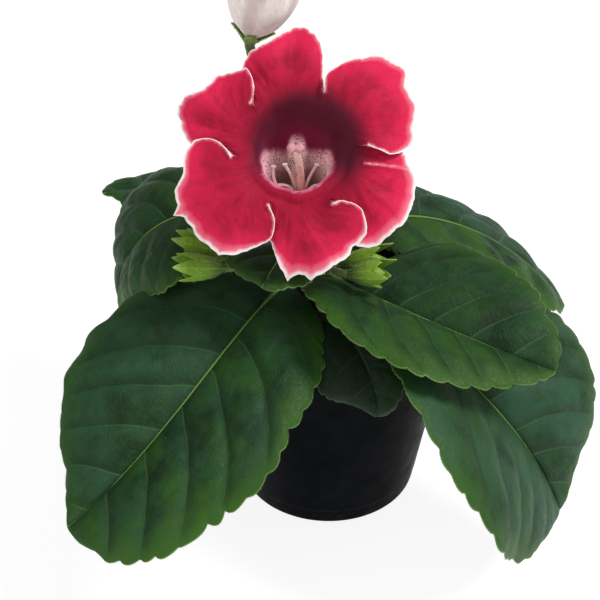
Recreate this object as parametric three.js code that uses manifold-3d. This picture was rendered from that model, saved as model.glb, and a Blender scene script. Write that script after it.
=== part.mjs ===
import * as THREE from "three";
import { mergeVertices } from "three/addons/utils/BufferGeometryUtils.js";
import Module from "manifold-3d";

// A gloxinia in its nursery pot. Millimetres, +Z up, the viewer's side at -Y.
// The origin is the middle of the pot's underside, on the surface that it stands on.

const wasm = await Module();
wasm.setup();

// Clearance between pieces that touch, and how far a cutter reaches past the face that it cuts
const GAP = 0.3;
const OVERSHOOT = 1;

// The pot: a thin-walled tub with a straight collar, open at the top
const POT = {
  height: 108,
  rimRadius: 60,
  collarFoot: 94,
  collarStep: 2.2,
  baseRadius: 43,
  wall: 1.4,
  floor: 2.4,
  footBevel: 1.6,
  holes: 6,
  holeRadius: 4,
  holeRing: 27,
  holeSides: 12,
  chamfer: 1,
  rimBevel: 0.7,
  lipStep: 0.6,
  sides: 36,
};

// Potting mix, filling the pot to a little below its rim. The mound's sides start at the edge.
const SOIL = { top: 98, mound: 3, sink: 2, edge: 6, rings: 3 };

// The short crown that every leaf and flower stalk leaves from. Its foot and its tip are tapered, and it
// narrows to the neck above the soil and again from its shoulder.
const STEM = {
  foot: 86,
  top: 134,
  footRadius: 7,
  midRadius: 5,
  topRadius: 3.6,
  footShare: 0.6,
  footRise: 4,
  neck: 10,
  shoulder: 12,
  tip: 2,
  sides: 16,
};

// Leaf blades, alike on every leaf. Powers shape how puffing, scallops, ripples and the forward sweep
// depend on the place between the veins or on the distance from the midrib.
const BLADE = {
  thickness: 0.9,
  columns: [-0.72, -0.36, 0, 0.36, 0.72],
  fullHalf: 40,
  puff: 2.2,
  quiltPower: 0.8,
  flatPower: 4,
  bite: 0.045,
  bitePower: 8,
  ripples: 3,
  ripplePower: 3,
  sweepPower: 1.3,
  keel: 1.3,
  normalStep: 0.01,
};

// Leaf stalks: thinner on small leaves, and tapered under the blade, where they end at a share of it
const PETIOLE = { radius: 2.5, smallest: 0.55, taper: 0.35, under: 0.16, sides: 8, steps: 7 };

// The corolla: a bent funnel that opens to a narrow lip, and six ruffled lobes rooted in the lip
const COROLLA = {
  thickness: 0.9,
  sides: 36,
  funnelRows: 6,
  lip: [[21.2, -2.5], [23.5, -0.7]],
  root: [22.2, -1.6],
  lobeRows: 3,
  rootSpread: 0.05,
  brim: 0.6,
  bendBack: 4.5,
  bendFrom: 24,
  bendOver: 26,
  climb: 0.6,
  droop: 0.35,
  lap: 1.7,
  frill: 1.3,
  frills: 3,
};

// Colour and roughness of each kind of tissue
const LOOKS = {
  pot: [0x17191b, 0.6],
  soil: [0x2b2019, 1],
  stem: [0x5f8a3a, 0.7],
  leaf: [0x2c4a26, 0.6],
  calyx: [0x6f9a32, 0.6],
  petal: [0xc11f47, 0.55],
  paleBud: [0xe2d3cd, 0.55],
  style: [0xc49a90, 0.5],
  filament: [0xd3aca6, 0.5],
};

const vec = (x, y, z) => new THREE.Vector3(x, y, z);
const mix = (a, b, k) => a + (b - a) * k;
const UP = vec(0, 0, 1);
const TURN = 2 * Math.PI;

// Solids

function solidOf(vertices, triangles) {
  const build = (faces) =>
    new wasm.Manifold(
      new wasm.Mesh({
        numProp: 3,
        vertProperties: new Float32Array(vertices.flatMap((v) => [v.x, v.y, v.z])),
        triVerts: new Uint32Array(faces.flat()),
      }),
    );
  const solid = build(triangles);
  return solid.volume() > 0 ? solid : build(triangles.map(([a, b, c]) => [a, c, b]));
}

function meshOf(name, solid, [colour, roughness]) {
  const { numProp, vertProperties, triVerts } = solid.getMesh();
  const positions = [];
  for (let i = 0; i < vertProperties.length; i += numProp)
    positions.push(...vertProperties.subarray(i, i + 3));
  const geometry = new THREE.BufferGeometry();
  geometry.setAttribute("position", new THREE.Float32BufferAttribute(positions, 3));
  geometry.setIndex([...triVerts]);
  geometry.computeVertexNormals();
  const material = new THREE.MeshStandardMaterial({ color: colour, roughness, metalness: 0 });
  const mesh = new THREE.Mesh(geometry, material);
  mesh.name = name;
  return mesh;
}

// A solid from rings of points, all of one length, with both ends closed by a fan.
function loft(rings, start, end) {
  const n = rings[0].length;
  const vertices = [...rings.flat(), start, end];
  const first = vertices.length - 2;
  const last = vertices.length - 1;
  const triangles = [];
  for (let c = 0; c < n; c++) {
    const d = (c + 1) % n;
    triangles.push([first, d, c]);
    for (let r = 0; r < rings.length - 1; r++) {
      const [a, b] = [r * n, (r + 1) * n];
      triangles.push([a + c, a + d, b + d], [a + c, b + d, b + c]);
    }
    const top = (rings.length - 1) * n;
    triangles.push([last, top + c, top + d]);
  }
  return solidOf(vertices, triangles);
}

// A round stalk along a curve, its radius given as a function of the place along it.
function stalk(curve, radiusAt, sides, steps, from = 0, to = 1) {
  const rings = [];
  let across = null;
  for (let i = 0; i <= steps; i++) {
    const u = mix(from, to, i / steps);
    const tangent = curve.getTangent(u);
    across ??= Math.abs(tangent.z) > 0.9 ? vec(1, 0, 0) : vec(0, 0, 1);
    const side = across.clone().addScaledVector(tangent, -across.dot(tangent)).normalize();
    const third = tangent.clone().cross(side);
    across = side;
    rings.push(ringAround(curve.getPoint(u), side, third, radiusAt(u), sides));
  }
  return loft(rings, curve.getPoint(from), curve.getPoint(to));
}

function ringAround(centre, side, third, radius, sides) {
  return Array.from({ length: sides }, (_, k) => {
    const a = (TURN * k) / sides;
    return centre
      .clone()
      .addScaledVector(side, radius * Math.cos(a))
      .addScaledVector(third, radius * Math.sin(a));
  });
}

const bezier = (points) => new THREE.CubicBezierCurve3(...points.map((p) => vec(...p)));

// A round solid about the Z axis from a profile of [radius, height], which starts and ends on the axis.
function turned(profile, sides) {
  const [start, end] = [profile[0], profile[profile.length - 1]];
  const rings = profile
    .slice(1, -1)
    .map(([r, z]) => ringAround(vec(0, 0, z), vec(1, 0, 0), vec(0, 1, 0), r, sides));
  return loft(rings, vec(0, 0, start[1]), vec(0, 0, end[1]));
}

// A closed sheet over the triangles of its middle surface: each point moves out along its normal by the
// distances above and below, and walls close the free edges.
function sheet(points, normals, triangles, above, below) {
  const n = points.length;
  const upper = points.map((p, i) => p.clone().addScaledVector(normals[i], above(i)));
  const lower = points.map((p, i) => p.clone().addScaledVector(normals[i], -below(i)));
  const edges = triangles.flatMap(([a, b, c]) => [[a, b], [b, c], [c, a]]);
  const key = (a, b) => a * n + b;
  const known = new Set(edges.map(([a, b]) => key(a, b)));
  const skins = triangles.flatMap(([a, b, c]) => [[a, b, c], [a + n, c + n, b + n]]);
  const walls = edges
    .filter(([a, b]) => !known.has(key(b, a)))
    .flatMap(([a, b]) => [[b, a, a + n], [b, a + n, b + n]]);
  return solidOf([...upper, ...lower], [...skins, ...walls]);
}

// An even sheet over rows of points, each row closed to a ring or open. A pole closes the first of the rings.
function rowsSheet(rows, closed, thickness) {
  const n = rows[0].length;
  const points = rows.flat();
  const normals = points.map(() => vec(0, 0, 0));
  const triangles = [];
  for (let r = 0; r < rows.length - 1; r++)
    for (let c = 0; c < (closed ? n : n - 1); c++) {
      const [a, b] = [r * n + c, (r + 1) * n + c];
      const [d, e] = [r * n + ((c + 1) % n), (r + 1) * n + ((c + 1) % n)];
      const normal = points[b].clone().sub(points[d]).cross(points[e].clone().sub(points[a]));
      for (const i of [a, b, d, e]) normals[i].add(normal);
      triangles.push([a, b, e], [a, e, d]);
    }
  if (closed) {
    const pole = rows[0].reduce((sum, p) => sum.add(p), vec(0, 0, 0)).divideScalar(n);
    const out = rows[0].reduce((sum, _, i) => sum.add(normals[i].clone().normalize()), vec(0, 0, 0));
    rows[0].forEach((_, c) => triangles.push([points.length, c, (c + 1) % n]));
    points.push(pole);
    normals.push(out);
  }
  for (const normal of normals) normal.normalize();
  const half = () => thickness / 2;
  return sheet(points, normals, triangles, half, half);
}

const cup = (rows, thickness) => rowsSheet(rows, true, thickness);
const plate = (rows, thickness) => rowsSheet(rows, false, thickness);

// The pot and what fills it

const wallRadius = (z) => mix(POT.baseRadius, POT.rimRadius - POT.collarStep, z / POT.collarFoot);

function pot() {
  const { rimRadius, height, collarFoot, wall, floor, footBevel, baseRadius } = POT;
  const { chamfer, rimBevel, lipStep } = POT;
  const body = turned(
    [
      [0, 0],
      [baseRadius - footBevel, 0],
      [baseRadius, footBevel],
      [wallRadius(collarFoot), collarFoot],
      [rimRadius, collarFoot + chamfer],
      [rimRadius, height - rimBevel],
      [rimRadius - rimBevel, height],
      [rimRadius - wall, height],
      [rimRadius - wall - lipStep, height - lipStep],
      [rimRadius - wall - lipStep, collarFoot + chamfer],
      [wallRadius(collarFoot - chamfer) - wall, collarFoot - chamfer],
      [wallRadius(floor) - wall, floor],
      [0, floor],
    ],
    POT.sides,
  );
  let drained = body;
  for (let k = 0; k < POT.holes; k++) {
    const a = (TURN * (k + 0.5)) / POT.holes;
    const centre = (z) => vec(POT.holeRing * Math.cos(a), POT.holeRing * Math.sin(a), z);
    const ring = (z) => ringAround(centre(z), vec(1, 0, 0), vec(0, 1, 0), POT.holeRadius, POT.holeSides);
    const [low, high] = [-OVERSHOOT, floor + OVERSHOOT];
    drained = drained.subtract(loft([ring(low), ring(high)], centre(low), centre(high)));
  }
  return drained;
}

function stemProfile(grow) {
  const { foot, top, footRadius, midRadius, topRadius, footShare, footRise, neck, shoulder, tip } = STEM;
  return [
    [0, foot - grow],
    [footRadius * footShare + grow, foot - grow],
    [footRadius + grow, foot + footRise],
    [footRadius + grow, SOIL.top],
    [midRadius + grow, SOIL.top + neck],
    [midRadius + grow, top - shoulder],
    [topRadius + grow, top - tip],
    [0, top + grow],
  ];
}

function soil() {
  const inner = (z) => wallRadius(z) - POT.wall - GAP;
  const floor = POT.floor + GAP;
  const edge = SOIL.top - SOIL.edge;
  const reach = inner(edge);
  const crumb = (r) => SOIL.top + SOIL.mound * Math.cos((Math.PI * r) / (2 * reach)) - SOIL.sink;
  const rings = [
    [inner(floor), floor],
    [reach, edge],
    [reach, crumb(reach)],
  ];
  for (let k = SOIL.rings - 1; k > 0; k--) {
    const radius = (reach * k) / SOIL.rings;
    rings.push([radius, crumb(radius)]);
  }
  const filled = turned([[0, floor], ...rings, [0, crumb(0)]], POT.sides);
  return filled.subtract(turned(stemProfile(GAP), STEM.sides));
}

// Leaves

// spine: the midrib from the crown to the tip, as a curve's four points; foot: where its blade starts.
// half: widths left and right of the midrib; roll: turn about the midrib at crown and tip, in degrees.
// left, right: slope of each half beside the midrib and at its margin, in degrees.
// lean: forward sweep of the veins; widest, heel, apex: shape of the outline and of its two ends.
// veins: pairs of side veins, with two scallops each; wave, phase: ripple of the margin.
const LEAVES = [
  {
    name: "leaf_front_left",
    spine: [[-4, -5, 116], [-26, -21, 139.5], [-58, -81, 93], [-109, -107, 60]],
    foot: 0.22, half: [52, 55], roll: [4, 12], left: [24, -22], right: [30, -11],
    lean: 0.13, widest: 1.18, heel: 0.38, apex: [0.37, 1.11], veins: 7, wave: 1.6, phase: 0.4,
  },
  {
    name: "leaf_right",
    spine: [[1, -6, 116], [-4, -29, 133], [43, -56, 124], [90, -74, 115]],
    foot: 0.16, half: [46, 46], roll: [19, -16], left: [27, 0], right: [35, -5],
    lean: 0.14, widest: 0.95, heel: 0.63, apex: [0.42, 0.68], veins: 7, wave: 1.2, phase: 1.9,
  },
  {
    name: "leaf_front_right",
    spine: [[5, -3, 108], [36, -69, 132], [86, -67, 80], [104, -62, 26]],
    foot: 0.22, half: [60, 61], roll: [15, -15], left: [37, -10], right: [30, -4],
    lean: 0.16, widest: 0.99, heel: 0.57, apex: [0.98, 0.4], veins: 7, wave: 1.6, phase: 3.1,
  },
  {
    name: "leaf_far_right",
    spine: [[5, 1, 119], [5, 12, 151], [78, 41, 129], [117, 33, 74]],
    foot: 0.2, half: [41, 38], roll: [2, -4], left: [11, -24], right: [-4, -30],
    lean: 0.13, widest: 0.95, heel: 0.5, apex: [0.5, 0.45], veins: 6, wave: 1.4, phase: 2.2,
  },
  {
    name: "leaf_left",
    spine: [[-5, 1, 122], [-46, 14, 157], [-98, 1, 148], [-97, -1, 94]],
    foot: 0.22, half: [40, 43], roll: [2, 16], left: [15, -18], right: [18, -21],
    lean: 0.14, widest: 1.07, heel: 0.5, apex: [1.3, 1.14], veins: 6, wave: 1.3, phase: 0.9,
  },
  {
    name: "leaf_far_left",
    spine: [[-4, 4, 112], [-35, 30, 150], [-83, 71, 121], [-110, 56, 124]],
    foot: 0.22, half: [32, 32], roll: [-4, -1], left: [15, -20], right: [12, -22],
    lean: 0.14, widest: 0.9, heel: 0.55, apex: [0.87, 0.66], veins: 5, wave: 1.2, phase: 4.0,
  },
  {
    name: "leaf_under_bloom",
    spine: [[-3, -4, 126], [-18, -24, 157], [-26, -58, 150], [-29, -60, 147]],
    foot: 0.25, half: [18, 22], roll: [0, 1], left: [9, -16], right: [9, -15],
    lean: 0.14, widest: 0.9, heel: 0.55, apex: [0.79, 0.79], veins: 4, wave: 0.8, phase: 1.2,
  },
  {
    name: "leaf_over_rim",
    spine: [[-1, -5, 107], [-5, -44, 131], [24, -73, 108], [17, -74, 92]],
    foot: 0.25, half: [15, 23], roll: [-4, -5], left: [12, -21], right: [9, -20],
    lean: 0.13, widest: 0.94, heel: 0.52, apex: [0.44, 0.76], veins: 4, wave: 0.7, phase: 2.7,
  },
  {
    name: "leaf_back_left",
    spine: [[-3, 5, 119], [-12, 42, 140], [-38, 82, 112], [-44, 100, 56]],
    foot: 0.22, half: [34, 38], roll: [4, 4], left: [10, -30], right: [12, -26],
    lean: 0.14, widest: 0.93, heel: 0.55, apex: [0.75, 0.75], veins: 5, wave: 1.5, phase: 5.0,
  },
  {
    name: "leaf_back",
    spine: [[0, 6, 106], [4, 46, 133], [6, 92, 106], [8, 105, 46]],
    foot: 0.22, half: [34, 34], roll: [0, 0], left: [10, -26], right: [14, -28],
    lean: 0.14, widest: 0.95, heel: 0.52, apex: [0.72, 0.76], veins: 5, wave: 1.6, phase: 0.2,
  },
  {
    name: "leaf_back_right",
    spine: [[4, 4, 114], [26, 32, 146], [56, 74, 118], [72, 92, 60]],
    foot: 0.22, half: [38, 36], roll: [2, 4], left: [10, -26], right: [12, -30],
    lean: 0.14, widest: 0.93, heel: 0.55, apex: [0.78, 0.74], veins: 5, wave: 1.4, phase: 3.6,
  },
];

// Directions at a place u of the spine: along it, to the right of it and out of the leaf's upper face.
function leafFrame(leaf, u) {
  const at = leaf.curve.getPoint(u);
  const along = leaf.curve.getTangent(u);
  const heading = leaf.curve.v3.clone().sub(leaf.curve.v0).setZ(0);
  const level = heading.cross(UP).normalize();
  const side = level.addScaledVector(along, -level.dot(along)).normalize();
  const up = side.clone().cross(along);
  const roll = THREE.MathUtils.degToRad(mix(leaf.roll[0], leaf.roll[1], u));
  const right = side.clone().multiplyScalar(Math.cos(roll)).addScaledVector(up, Math.sin(roll));
  const out = up.clone().multiplyScalar(Math.cos(roll)).addScaledVector(side, -Math.sin(roll));
  return { at, right, out };
}

// A point of the blade's middle surface: q runs from the blade's heel to its tip, s from the left margin
// at -1 over the midrib at 0 to the right margin at 1. Each half is an arc across the midrib, puffed up
// between its veins, waved at the margin and cut into scallops.
function bladePoint(leaf, q, s) {
  const a = Math.abs(s);
  const sideOf = s > 0 ? 1 : 0;
  const t = (q + (1 - Math.cos(Math.PI * q)) / 2) / 2;
  const reach = t + 4 * leaf.lean * t * (1 - t);
  const inside = THREE.MathUtils.clamp(reach, 1e-9, 1 - 1e-9);
  const power = mix(leaf.heel, leaf.apex[sideOf], reach);
  const outline = Math.sin(Math.PI * inside ** leaf.widest) ** power;
  const notch = 1 - Math.abs(Math.sin(TURN * leaf.veins * q));
  const scallop = 1 - BLADE.bite * notch * a ** BLADE.bitePower;
  const width = leaf.half[sideOf] * outline * scallop;
  const [inner, outer] = (s > 0 ? leaf.right : leaf.left).map(THREE.MathUtils.degToRad);
  const bend = outer - inner;
  const slope = inner + bend * a;
  const across = (width * (Math.sin(slope) - Math.sin(inner))) / bend;
  const ends = Math.sqrt(Math.sin(Math.PI * t));
  const quilt = Math.abs(Math.sin(Math.PI * leaf.veins * q)) ** BLADE.quiltPower;
  const puff = leaf.size * BLADE.puff * quilt * (1 - a ** BLADE.flatPower) * Math.sqrt(a);
  const wave = Math.sin(BLADE.ripples * TURN * q + leaf.phase + 2 * sideOf);
  const ripple = leaf.wave * a ** BLADE.ripplePower * wave;
  const lift = (width * (Math.cos(inner) - Math.cos(slope))) / bend + (puff + ripple) * ends;
  const u = mix(leaf.foot, 1, t + (reach - t) * a ** BLADE.sweepPower);
  const { at, right, out } = leafFrame(leaf, u);
  return at.addScaledVector(right, Math.sign(s) * across).addScaledVector(out, lift);
}

function bladeNormal(leaf, q, s) {
  const step = BLADE.normalStep;
  const [q0, q1] = [Math.max(q - step, 0), Math.min(q + step, 1)];
  const [s0, s1] = [Math.max(s - step, -1), Math.min(s + step, 1)];
  const along = bladePoint(leaf, q1, s).sub(bladePoint(leaf, q0, s));
  const across = bladePoint(leaf, q, s1).sub(bladePoint(leaf, q, s0));
  return across.cross(along).normalize();
}

// Triangles of one face of a blade, over its heel, its tip, a coarse inner grid and two finer margins.
function bladeFaces(rows) {
  const { columns } = BLADE;
  const last = columns.length - 1;
  const points = [[0, 0], [1, 0]];
  const add = (q, s) => points.push([q, s]) - 1;
  const [heel, tip] = [0, 1];
  const inner = [];
  for (let i = 1; i < rows; i++) inner[i] = columns.map((s) => add(i / rows, s));
  const [left, right] = [[], []];
  for (let k = 1; k < 2 * rows; k++) {
    left[k] = add(k / (2 * rows), -1);
    right[k] = add(k / (2 * rows), 1);
  }
  const end = 2 * rows;
  const triangles = [];
  for (let j = 0; j < last; j++) {
    triangles.push([heel, inner[1][j + 1], inner[1][j]], [inner[rows - 1][j], inner[rows - 1][j + 1], tip]);
    for (let i = 1; i < rows - 1; i++) {
      triangles.push([inner[i][j], inner[i][j + 1], inner[i + 1][j + 1]]);
      triangles.push([inner[i][j], inner[i + 1][j + 1], inner[i + 1][j]]);
    }
  }
  const [l1, r1, lN, rN] = [inner[1][0], inner[1][last], inner[rows - 1][0], inner[rows - 1][last]];
  triangles.push([heel, right[1], r1], [r1, right[1], right[2]]);
  triangles.push([heel, l1, left[1]], [l1, left[2], left[1]]);
  triangles.push([rN, right[end - 2], right[end - 1]], [rN, right[end - 1], tip]);
  triangles.push([lN, left[end - 1], left[end - 2]], [lN, tip, left[end - 1]]);
  for (let i = 1; i < rows - 1; i++) {
    const [a, b, m] = [inner[i][last], inner[i + 1][last], 2 * i];
    triangles.push([a, right[m], right[m + 1]], [a, right[m + 1], b], [b, right[m + 1], right[m + 2]]);
    const [c, d] = [inner[i][0], inner[i + 1][0]];
    triangles.push([c, left[m + 1], left[m]], [c, d, left[m + 1]], [d, left[m + 2], left[m + 1]]);
  }
  return { points, triangles };
}

function blade(leaf) {
  const { points, triangles } = bladeFaces(2 * leaf.veins);
  const middle = points.map(([q, s]) => bladePoint(leaf, q, s));
  const normals = points.map(([q, s]) =>
    q === 0 || q === 1 ? leafFrame(leaf, mix(leaf.foot, 1, q)).out : bladeNormal(leaf, q, s),
  );
  const half = BLADE.thickness / 2;
  const keel = ([q, s]) => (s === 0 ? leaf.size * BLADE.keel * (1 - q) : 0);
  return sheet(middle, normals, triangles, () => half, (i) => half + keel(points[i]));
}

function leaf(shape) {
  const size = Math.min(1, shape.half[0] / BLADE.fullHalf);
  const made = { ...shape, curve: bezier(shape.spine), size };
  const { radius, smallest, taper, under, sides, steps } = PETIOLE;
  const end = mix(made.foot, 1, under);
  const radiusAt = (u) => radius * mix(smallest, 1, size) * mix(1, taper, (u / end) ** 2);
  const petiole = stalk(made.curve, radiusAt, sides, steps, 0, end);
  return blade(made).add(petiole).subtract(turned(stemProfile(GAP), STEM.sides));
}

// Flowers

// A flower's own frame: x to the right, y up and z out of its mouth, seen from the front.
function flowerFrame({ at, facing, top }) {
  const z = vec(...facing).normalize();
  const x = vec(...top).cross(z).normalize();
  const y = z.clone().cross(x);
  return new THREE.Matrix4().makeBasis(x, y, z).setPosition(...at);
}

const degrees = THREE.MathUtils.degToRad;

const BLOOM = { at: [-15, -40, 198], facing: [0, -0.848, 0.53], top: [0, 0.53, 0.848] };

// Margins of the six lobes, clockwise from notch to notch, as [angle, radius] about the mouth.
// over: how each lobe's first and second side lies, above (1) or below (-1) its neighbour.
const LOBES = [
  {
    over: [-1, -0.6], wave: 0.6,
    margin: [
      [134, 26], [127, 34], [121, 41], [110, 44], [98, 46.5], [90, 49], [81, 46], [76, 38], [73, 30],
    ],
  },
  {
    over: [0.6, 1], wave: 2.1,
    margin: [
      [65, 25.5], [66, 34], [59, 42], [47, 50], [37, 54], [30, 50], [20, 50], [9, 46.5], [0, 41], [2, 33],
    ],
  },
  {
    over: [-1, -1], wave: 3.9,
    margin: [
      [5, 28], [3, 36], [-3, 43], [-13, 48], [-27, 50.5], [-41, 49], [-52, 47.5], [-59, 42], [-58, 33],
    ],
  },
  {
    over: [1, -1], wave: 5.2,
    margin: [
      [-56, 25], [-53, 29], [-45, 35], [-48, 41], [-60, 44.5], [-72, 47.5], [-82, 50], [-95, 48.5],
      [-103, 40], [-111, 31],
    ],
  },
  {
    over: [1, 1], wave: 1.3,
    margin: [
      [-118, 24], [-115, 29], [-108, 37], [-119, 45], [-129, 50.5], [-143, 52], [-160, 51.5],
      [-170, 45.5], [-181, 43.5], [-186, 38], [-178, 30],
    ],
  },
  {
    over: [-1, 1], wave: 4.4,
    margin: [
      [-175, 26], [-182, 34], [-185, 43], [-194, 47.5], [-201, 50.5], [-209, 47], [-220, 43.5],
      [-230, 40], [-236, 37], [-229, 30],
    ],
  },
];

// Centre line and radius of the bloom's tube, from its base to the ring where the lobes start
const TUBE_LINE = new THREE.QuadraticBezierCurve3(vec(0, -20, -43), vec(0, -1, -13), vec(0, 0, -4.2));
const TUBE_RADII = [
  [0, 4], [0.1, 6.6], [0.25, 10], [0.45, 13.2], [0.65, 14.6], [0.8, 15.2], [0.92, 16.6], [1, 19],
];

// The calyx starts below the flower's foot, where the stalk nods over. Its own foot is rounded in, each
// sepal narrows by a power to its tip, and splay turns the sepals out.
const CALYX = {
  below: 3,
  nod: 14,
  thickness: 1,
  sepals: 5,
  across: [-1, -0.5, 0, 0.5],
  footShare: 0.55,
  footRise: 6,
  tipPower: 0.75,
  pinch: 0.25,
  notchDepth: 0.02,
  splayFrom: 0.2,
  splayPower: 1.5,
  open: { thickness: 1, splay: 16, cupRows: [0.12, 0.5, 1], sepalRows: [0.45, 1] },
  closed: { thickness: 0.7, splay: 2, cupRows: [0.12, 1], sepalRows: [0.5, 1] },
};

// Flower stalks widen a little where they meet the calyx
const FLOWER_STALK = { flare: 1.4, flarePower: 4, steps: 7, sides: 8 };
const { sides: STALK_SIDES } = FLOWER_STALK;

// radii: [place, radius] along the ovary and the style; stigma: half sizes of each of its lobes
const PISTIL = {
  bends: [[0, -13, -28], [0, -4, -12]],
  end: [0, 1.2, -3],
  radii: [[0, 1.9], [0.07, 2.8], [0.16, 2.4], [0.28, 1.6], [0.9, 1.35], [1, 1.5]],
  stigma: [2.2, 1.9, 1.6],
  stigmaAt: [1.5, 1.8, -2.4],
  sides: 8,
  steps: 9,
};

// Segments around and along the small ball shapes, and how near two of their points are one
const BALL = { around: 6, along: 4, merge: 1e-4 };

// Filaments in mirrored pairs: the angle of the root on the ring, two bends and the end
const STAMENS = {
  ringPlace: 0.065,
  ringRadius: 4.1,
  ringThickness: 0.6,
  ringSides: [4, 12],
  filamentRadius: 0.65,
  filamentSides: 4,
  filamentSteps: 6,
  antherRadius: 1.1,
  antherSides: [5, 4],
  filaments: [
    { angle: -20, bends: [[6, -17, -32], [10, -13, -18]], end: [9.6, -6.5, -13] },
    { angle: -60, bends: [[1, -17, -31], [3, -14, -22]], end: [9, -12.6, -17] },
    { angle: 30, bends: [[3, -14, -30], [3, -9, -20]], end: [7.2, -4.2, -14] },
  ],
};

// The large pale bud
const BUD = {
  at: [-34, 10, 225],
  facing: [0.24, -0.2, 0.95],
  top: [0, 1, 0.2],
  length: 46,
  rows: 9,
  lastRow: 0.4,
  sides: 24,
  folds: 5,
  pleat: 0.1,
  pleatFrom: 0.15,
  twist: 1.6,
};
const BUD_LINE = new THREE.LineCurve3(vec(0, 0, 0), vec(0, 0, BUD.length));
const BUD_RADII = [
  [0, 4.2], [0.08, 7.6], [0.2, 11.4], [0.4, 14.2], [0.6, 15], [0.78, 13.8], [0.92, 9], [1, 1.5],
];

// The young buds: a calyx profile as [place, radius] and the bud inside it
const GREEN_BUD = {
  radii: [[0, 2.2], [0.15, 3.8], [0.4, 4.6], [0.65, 4.2], [0.85, 3], [1, 2.4]],
  core: [[0.03, 1.6], [0.2, 2.9], [0.4, 3.5], [0.6, 2.6], [0.72, 1.2]],
  coreFoot: 0.5,
  coreTip: 0.04,
  cupShare: 0.3,
  turn: 0.5,
  sides: 6,
  stalkRadius: 1.2,
};
const GREEN_BUDS = [
  {
    name: "bud_left_upper",
    foot: [-44, -32, 145], tip: [-68, -33, 154],
    stalkFrom: [-2, 1, 129], stalkBend: [-20, -4, 150],
  },
  {
    name: "bud_left_lower",
    foot: [-47, -44, 146], tip: [-67, -49, 150],
    stalkFrom: [-3, -1, 124], stalkBend: [-22, -12, 134],
  },
  {
    name: "bud_right_upper",
    foot: [5, -28, 138], tip: [26, -30, 143],
    stalkFrom: [2, -1, 126], stalkBend: [11, -8, 142],
  },
  {
    name: "bud_right_lower",
    foot: [8, -44, 143], tip: [25, -49, 147],
    stalkFrom: [1, -3, 127], stalkBend: [-4, -18, 144],
  },
];

// Weights of a cubic's start, starting slope, end and end slope at a place f of it.
const hermite = (f) => [
  2 * f ** 3 - 3 * f ** 2 + 1,
  f ** 3 - 2 * f ** 2 + f,
  3 * f ** 2 - 2 * f ** 3,
  f ** 3 - f ** 2,
];

// Smooth value at x through a list of [place, value].
function through(list, x) {
  const k = Math.max(0, Math.min(list.length - 2, list.findIndex(([p]) => p > x) - 1));
  const i = x >= list[list.length - 1][0] ? list.length - 2 : k;
  const [a, b] = [list[i], list[i + 1]];
  const rise = (j) => {
    const [p, q] = [list[Math.max(j - 1, 0)], list[Math.min(j + 1, list.length - 1)]];
    return (q[1] - p[1]) / (q[0] - p[0]);
  };
  const span = b[0] - a[0];
  const f = THREE.MathUtils.clamp((x - a[0]) / span, 0, 1);
  const h = hermite(f);
  return h[0] * a[1] + h[1] * span * rise(i) + h[2] * b[1] + h[3] * span * rise(i + 1);
}

// A point about a bent centre line, at an angle from the flower's right, counted anticlockwise.
function aroundLine(line, u, angle, radius) {
  const along = line.getTangent(u);
  const up = vec(0, 1, 0).addScaledVector(along, -along.y).normalize();
  const right = up.clone().cross(along);
  return line
    .getPoint(u)
    .addScaledVector(right, radius * Math.cos(angle))
    .addScaledVector(up, radius * Math.sin(angle));
}

// A place on the run from a lobe's root to its margin, which leaves the lip climbing outwards and meets
// the margin bending back.
function lobePoint(root, margin, angle, lap, f) {
  const length = root.distanceTo(margin);
  const leave = vec(Math.cos(angle), Math.sin(angle), COROLLA.climb).normalize().multiplyScalar(length);
  const outward = margin.clone().sub(root).setZ(0).normalize();
  const arrive = outward.setZ(-COROLLA.droop).multiplyScalar(length);
  const h = hermite(f);
  return root
    .clone()
    .multiplyScalar(h[0])
    .addScaledVector(leave, h[1])
    .addScaledVector(margin, h[2])
    .addScaledVector(arrive, h[3])
    .add(vec(0, 0, lap * Math.sqrt(f)));
}

// A lobe from its root in the lip to its margin. Its sides lie above or below the neighbours.
function lobe({ margin, over, wave }, nextNotch) {
  const ends = [...margin, nextNotch];
  const columns = ends.map(([angle, radius], k) => {
    const f = k / (ends.length - 1);
    const a = degrees(angle);
    const { bendBack, bendFrom, bendOver, brim, frills } = COROLLA;
    const frill = COROLLA.frill * Math.sin(Math.PI * f) * Math.sin(frills * TURN * f + wave);
    const height = brim - bendBack * ((radius - bendFrom) / bendOver) ** 2 + frill;
    const spread = f + COROLLA.rootSpread * Math.sin(TURN * f);
    const base = degrees(mix(margin[0][0], nextNotch[0], spread));
    const [rootRadius, rootHeight] = COROLLA.root;
    return {
      base,
      root: vec(rootRadius * Math.cos(base), rootRadius * Math.sin(base), rootHeight),
      end: vec(radius * Math.cos(a), radius * Math.sin(a), height),
      lap: COROLLA.lap * over[f < 0.5 ? 0 : 1] * Math.abs(Math.cos(Math.PI * f)),
    };
  });
  const places = Array.from({ length: COROLLA.lobeRows + 1 }, (_, r) => r / COROLLA.lobeRows);
  return places.map((f) => columns.map(({ root, end, base, lap }) => lobePoint(root, end, base, lap, f)));
}

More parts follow.
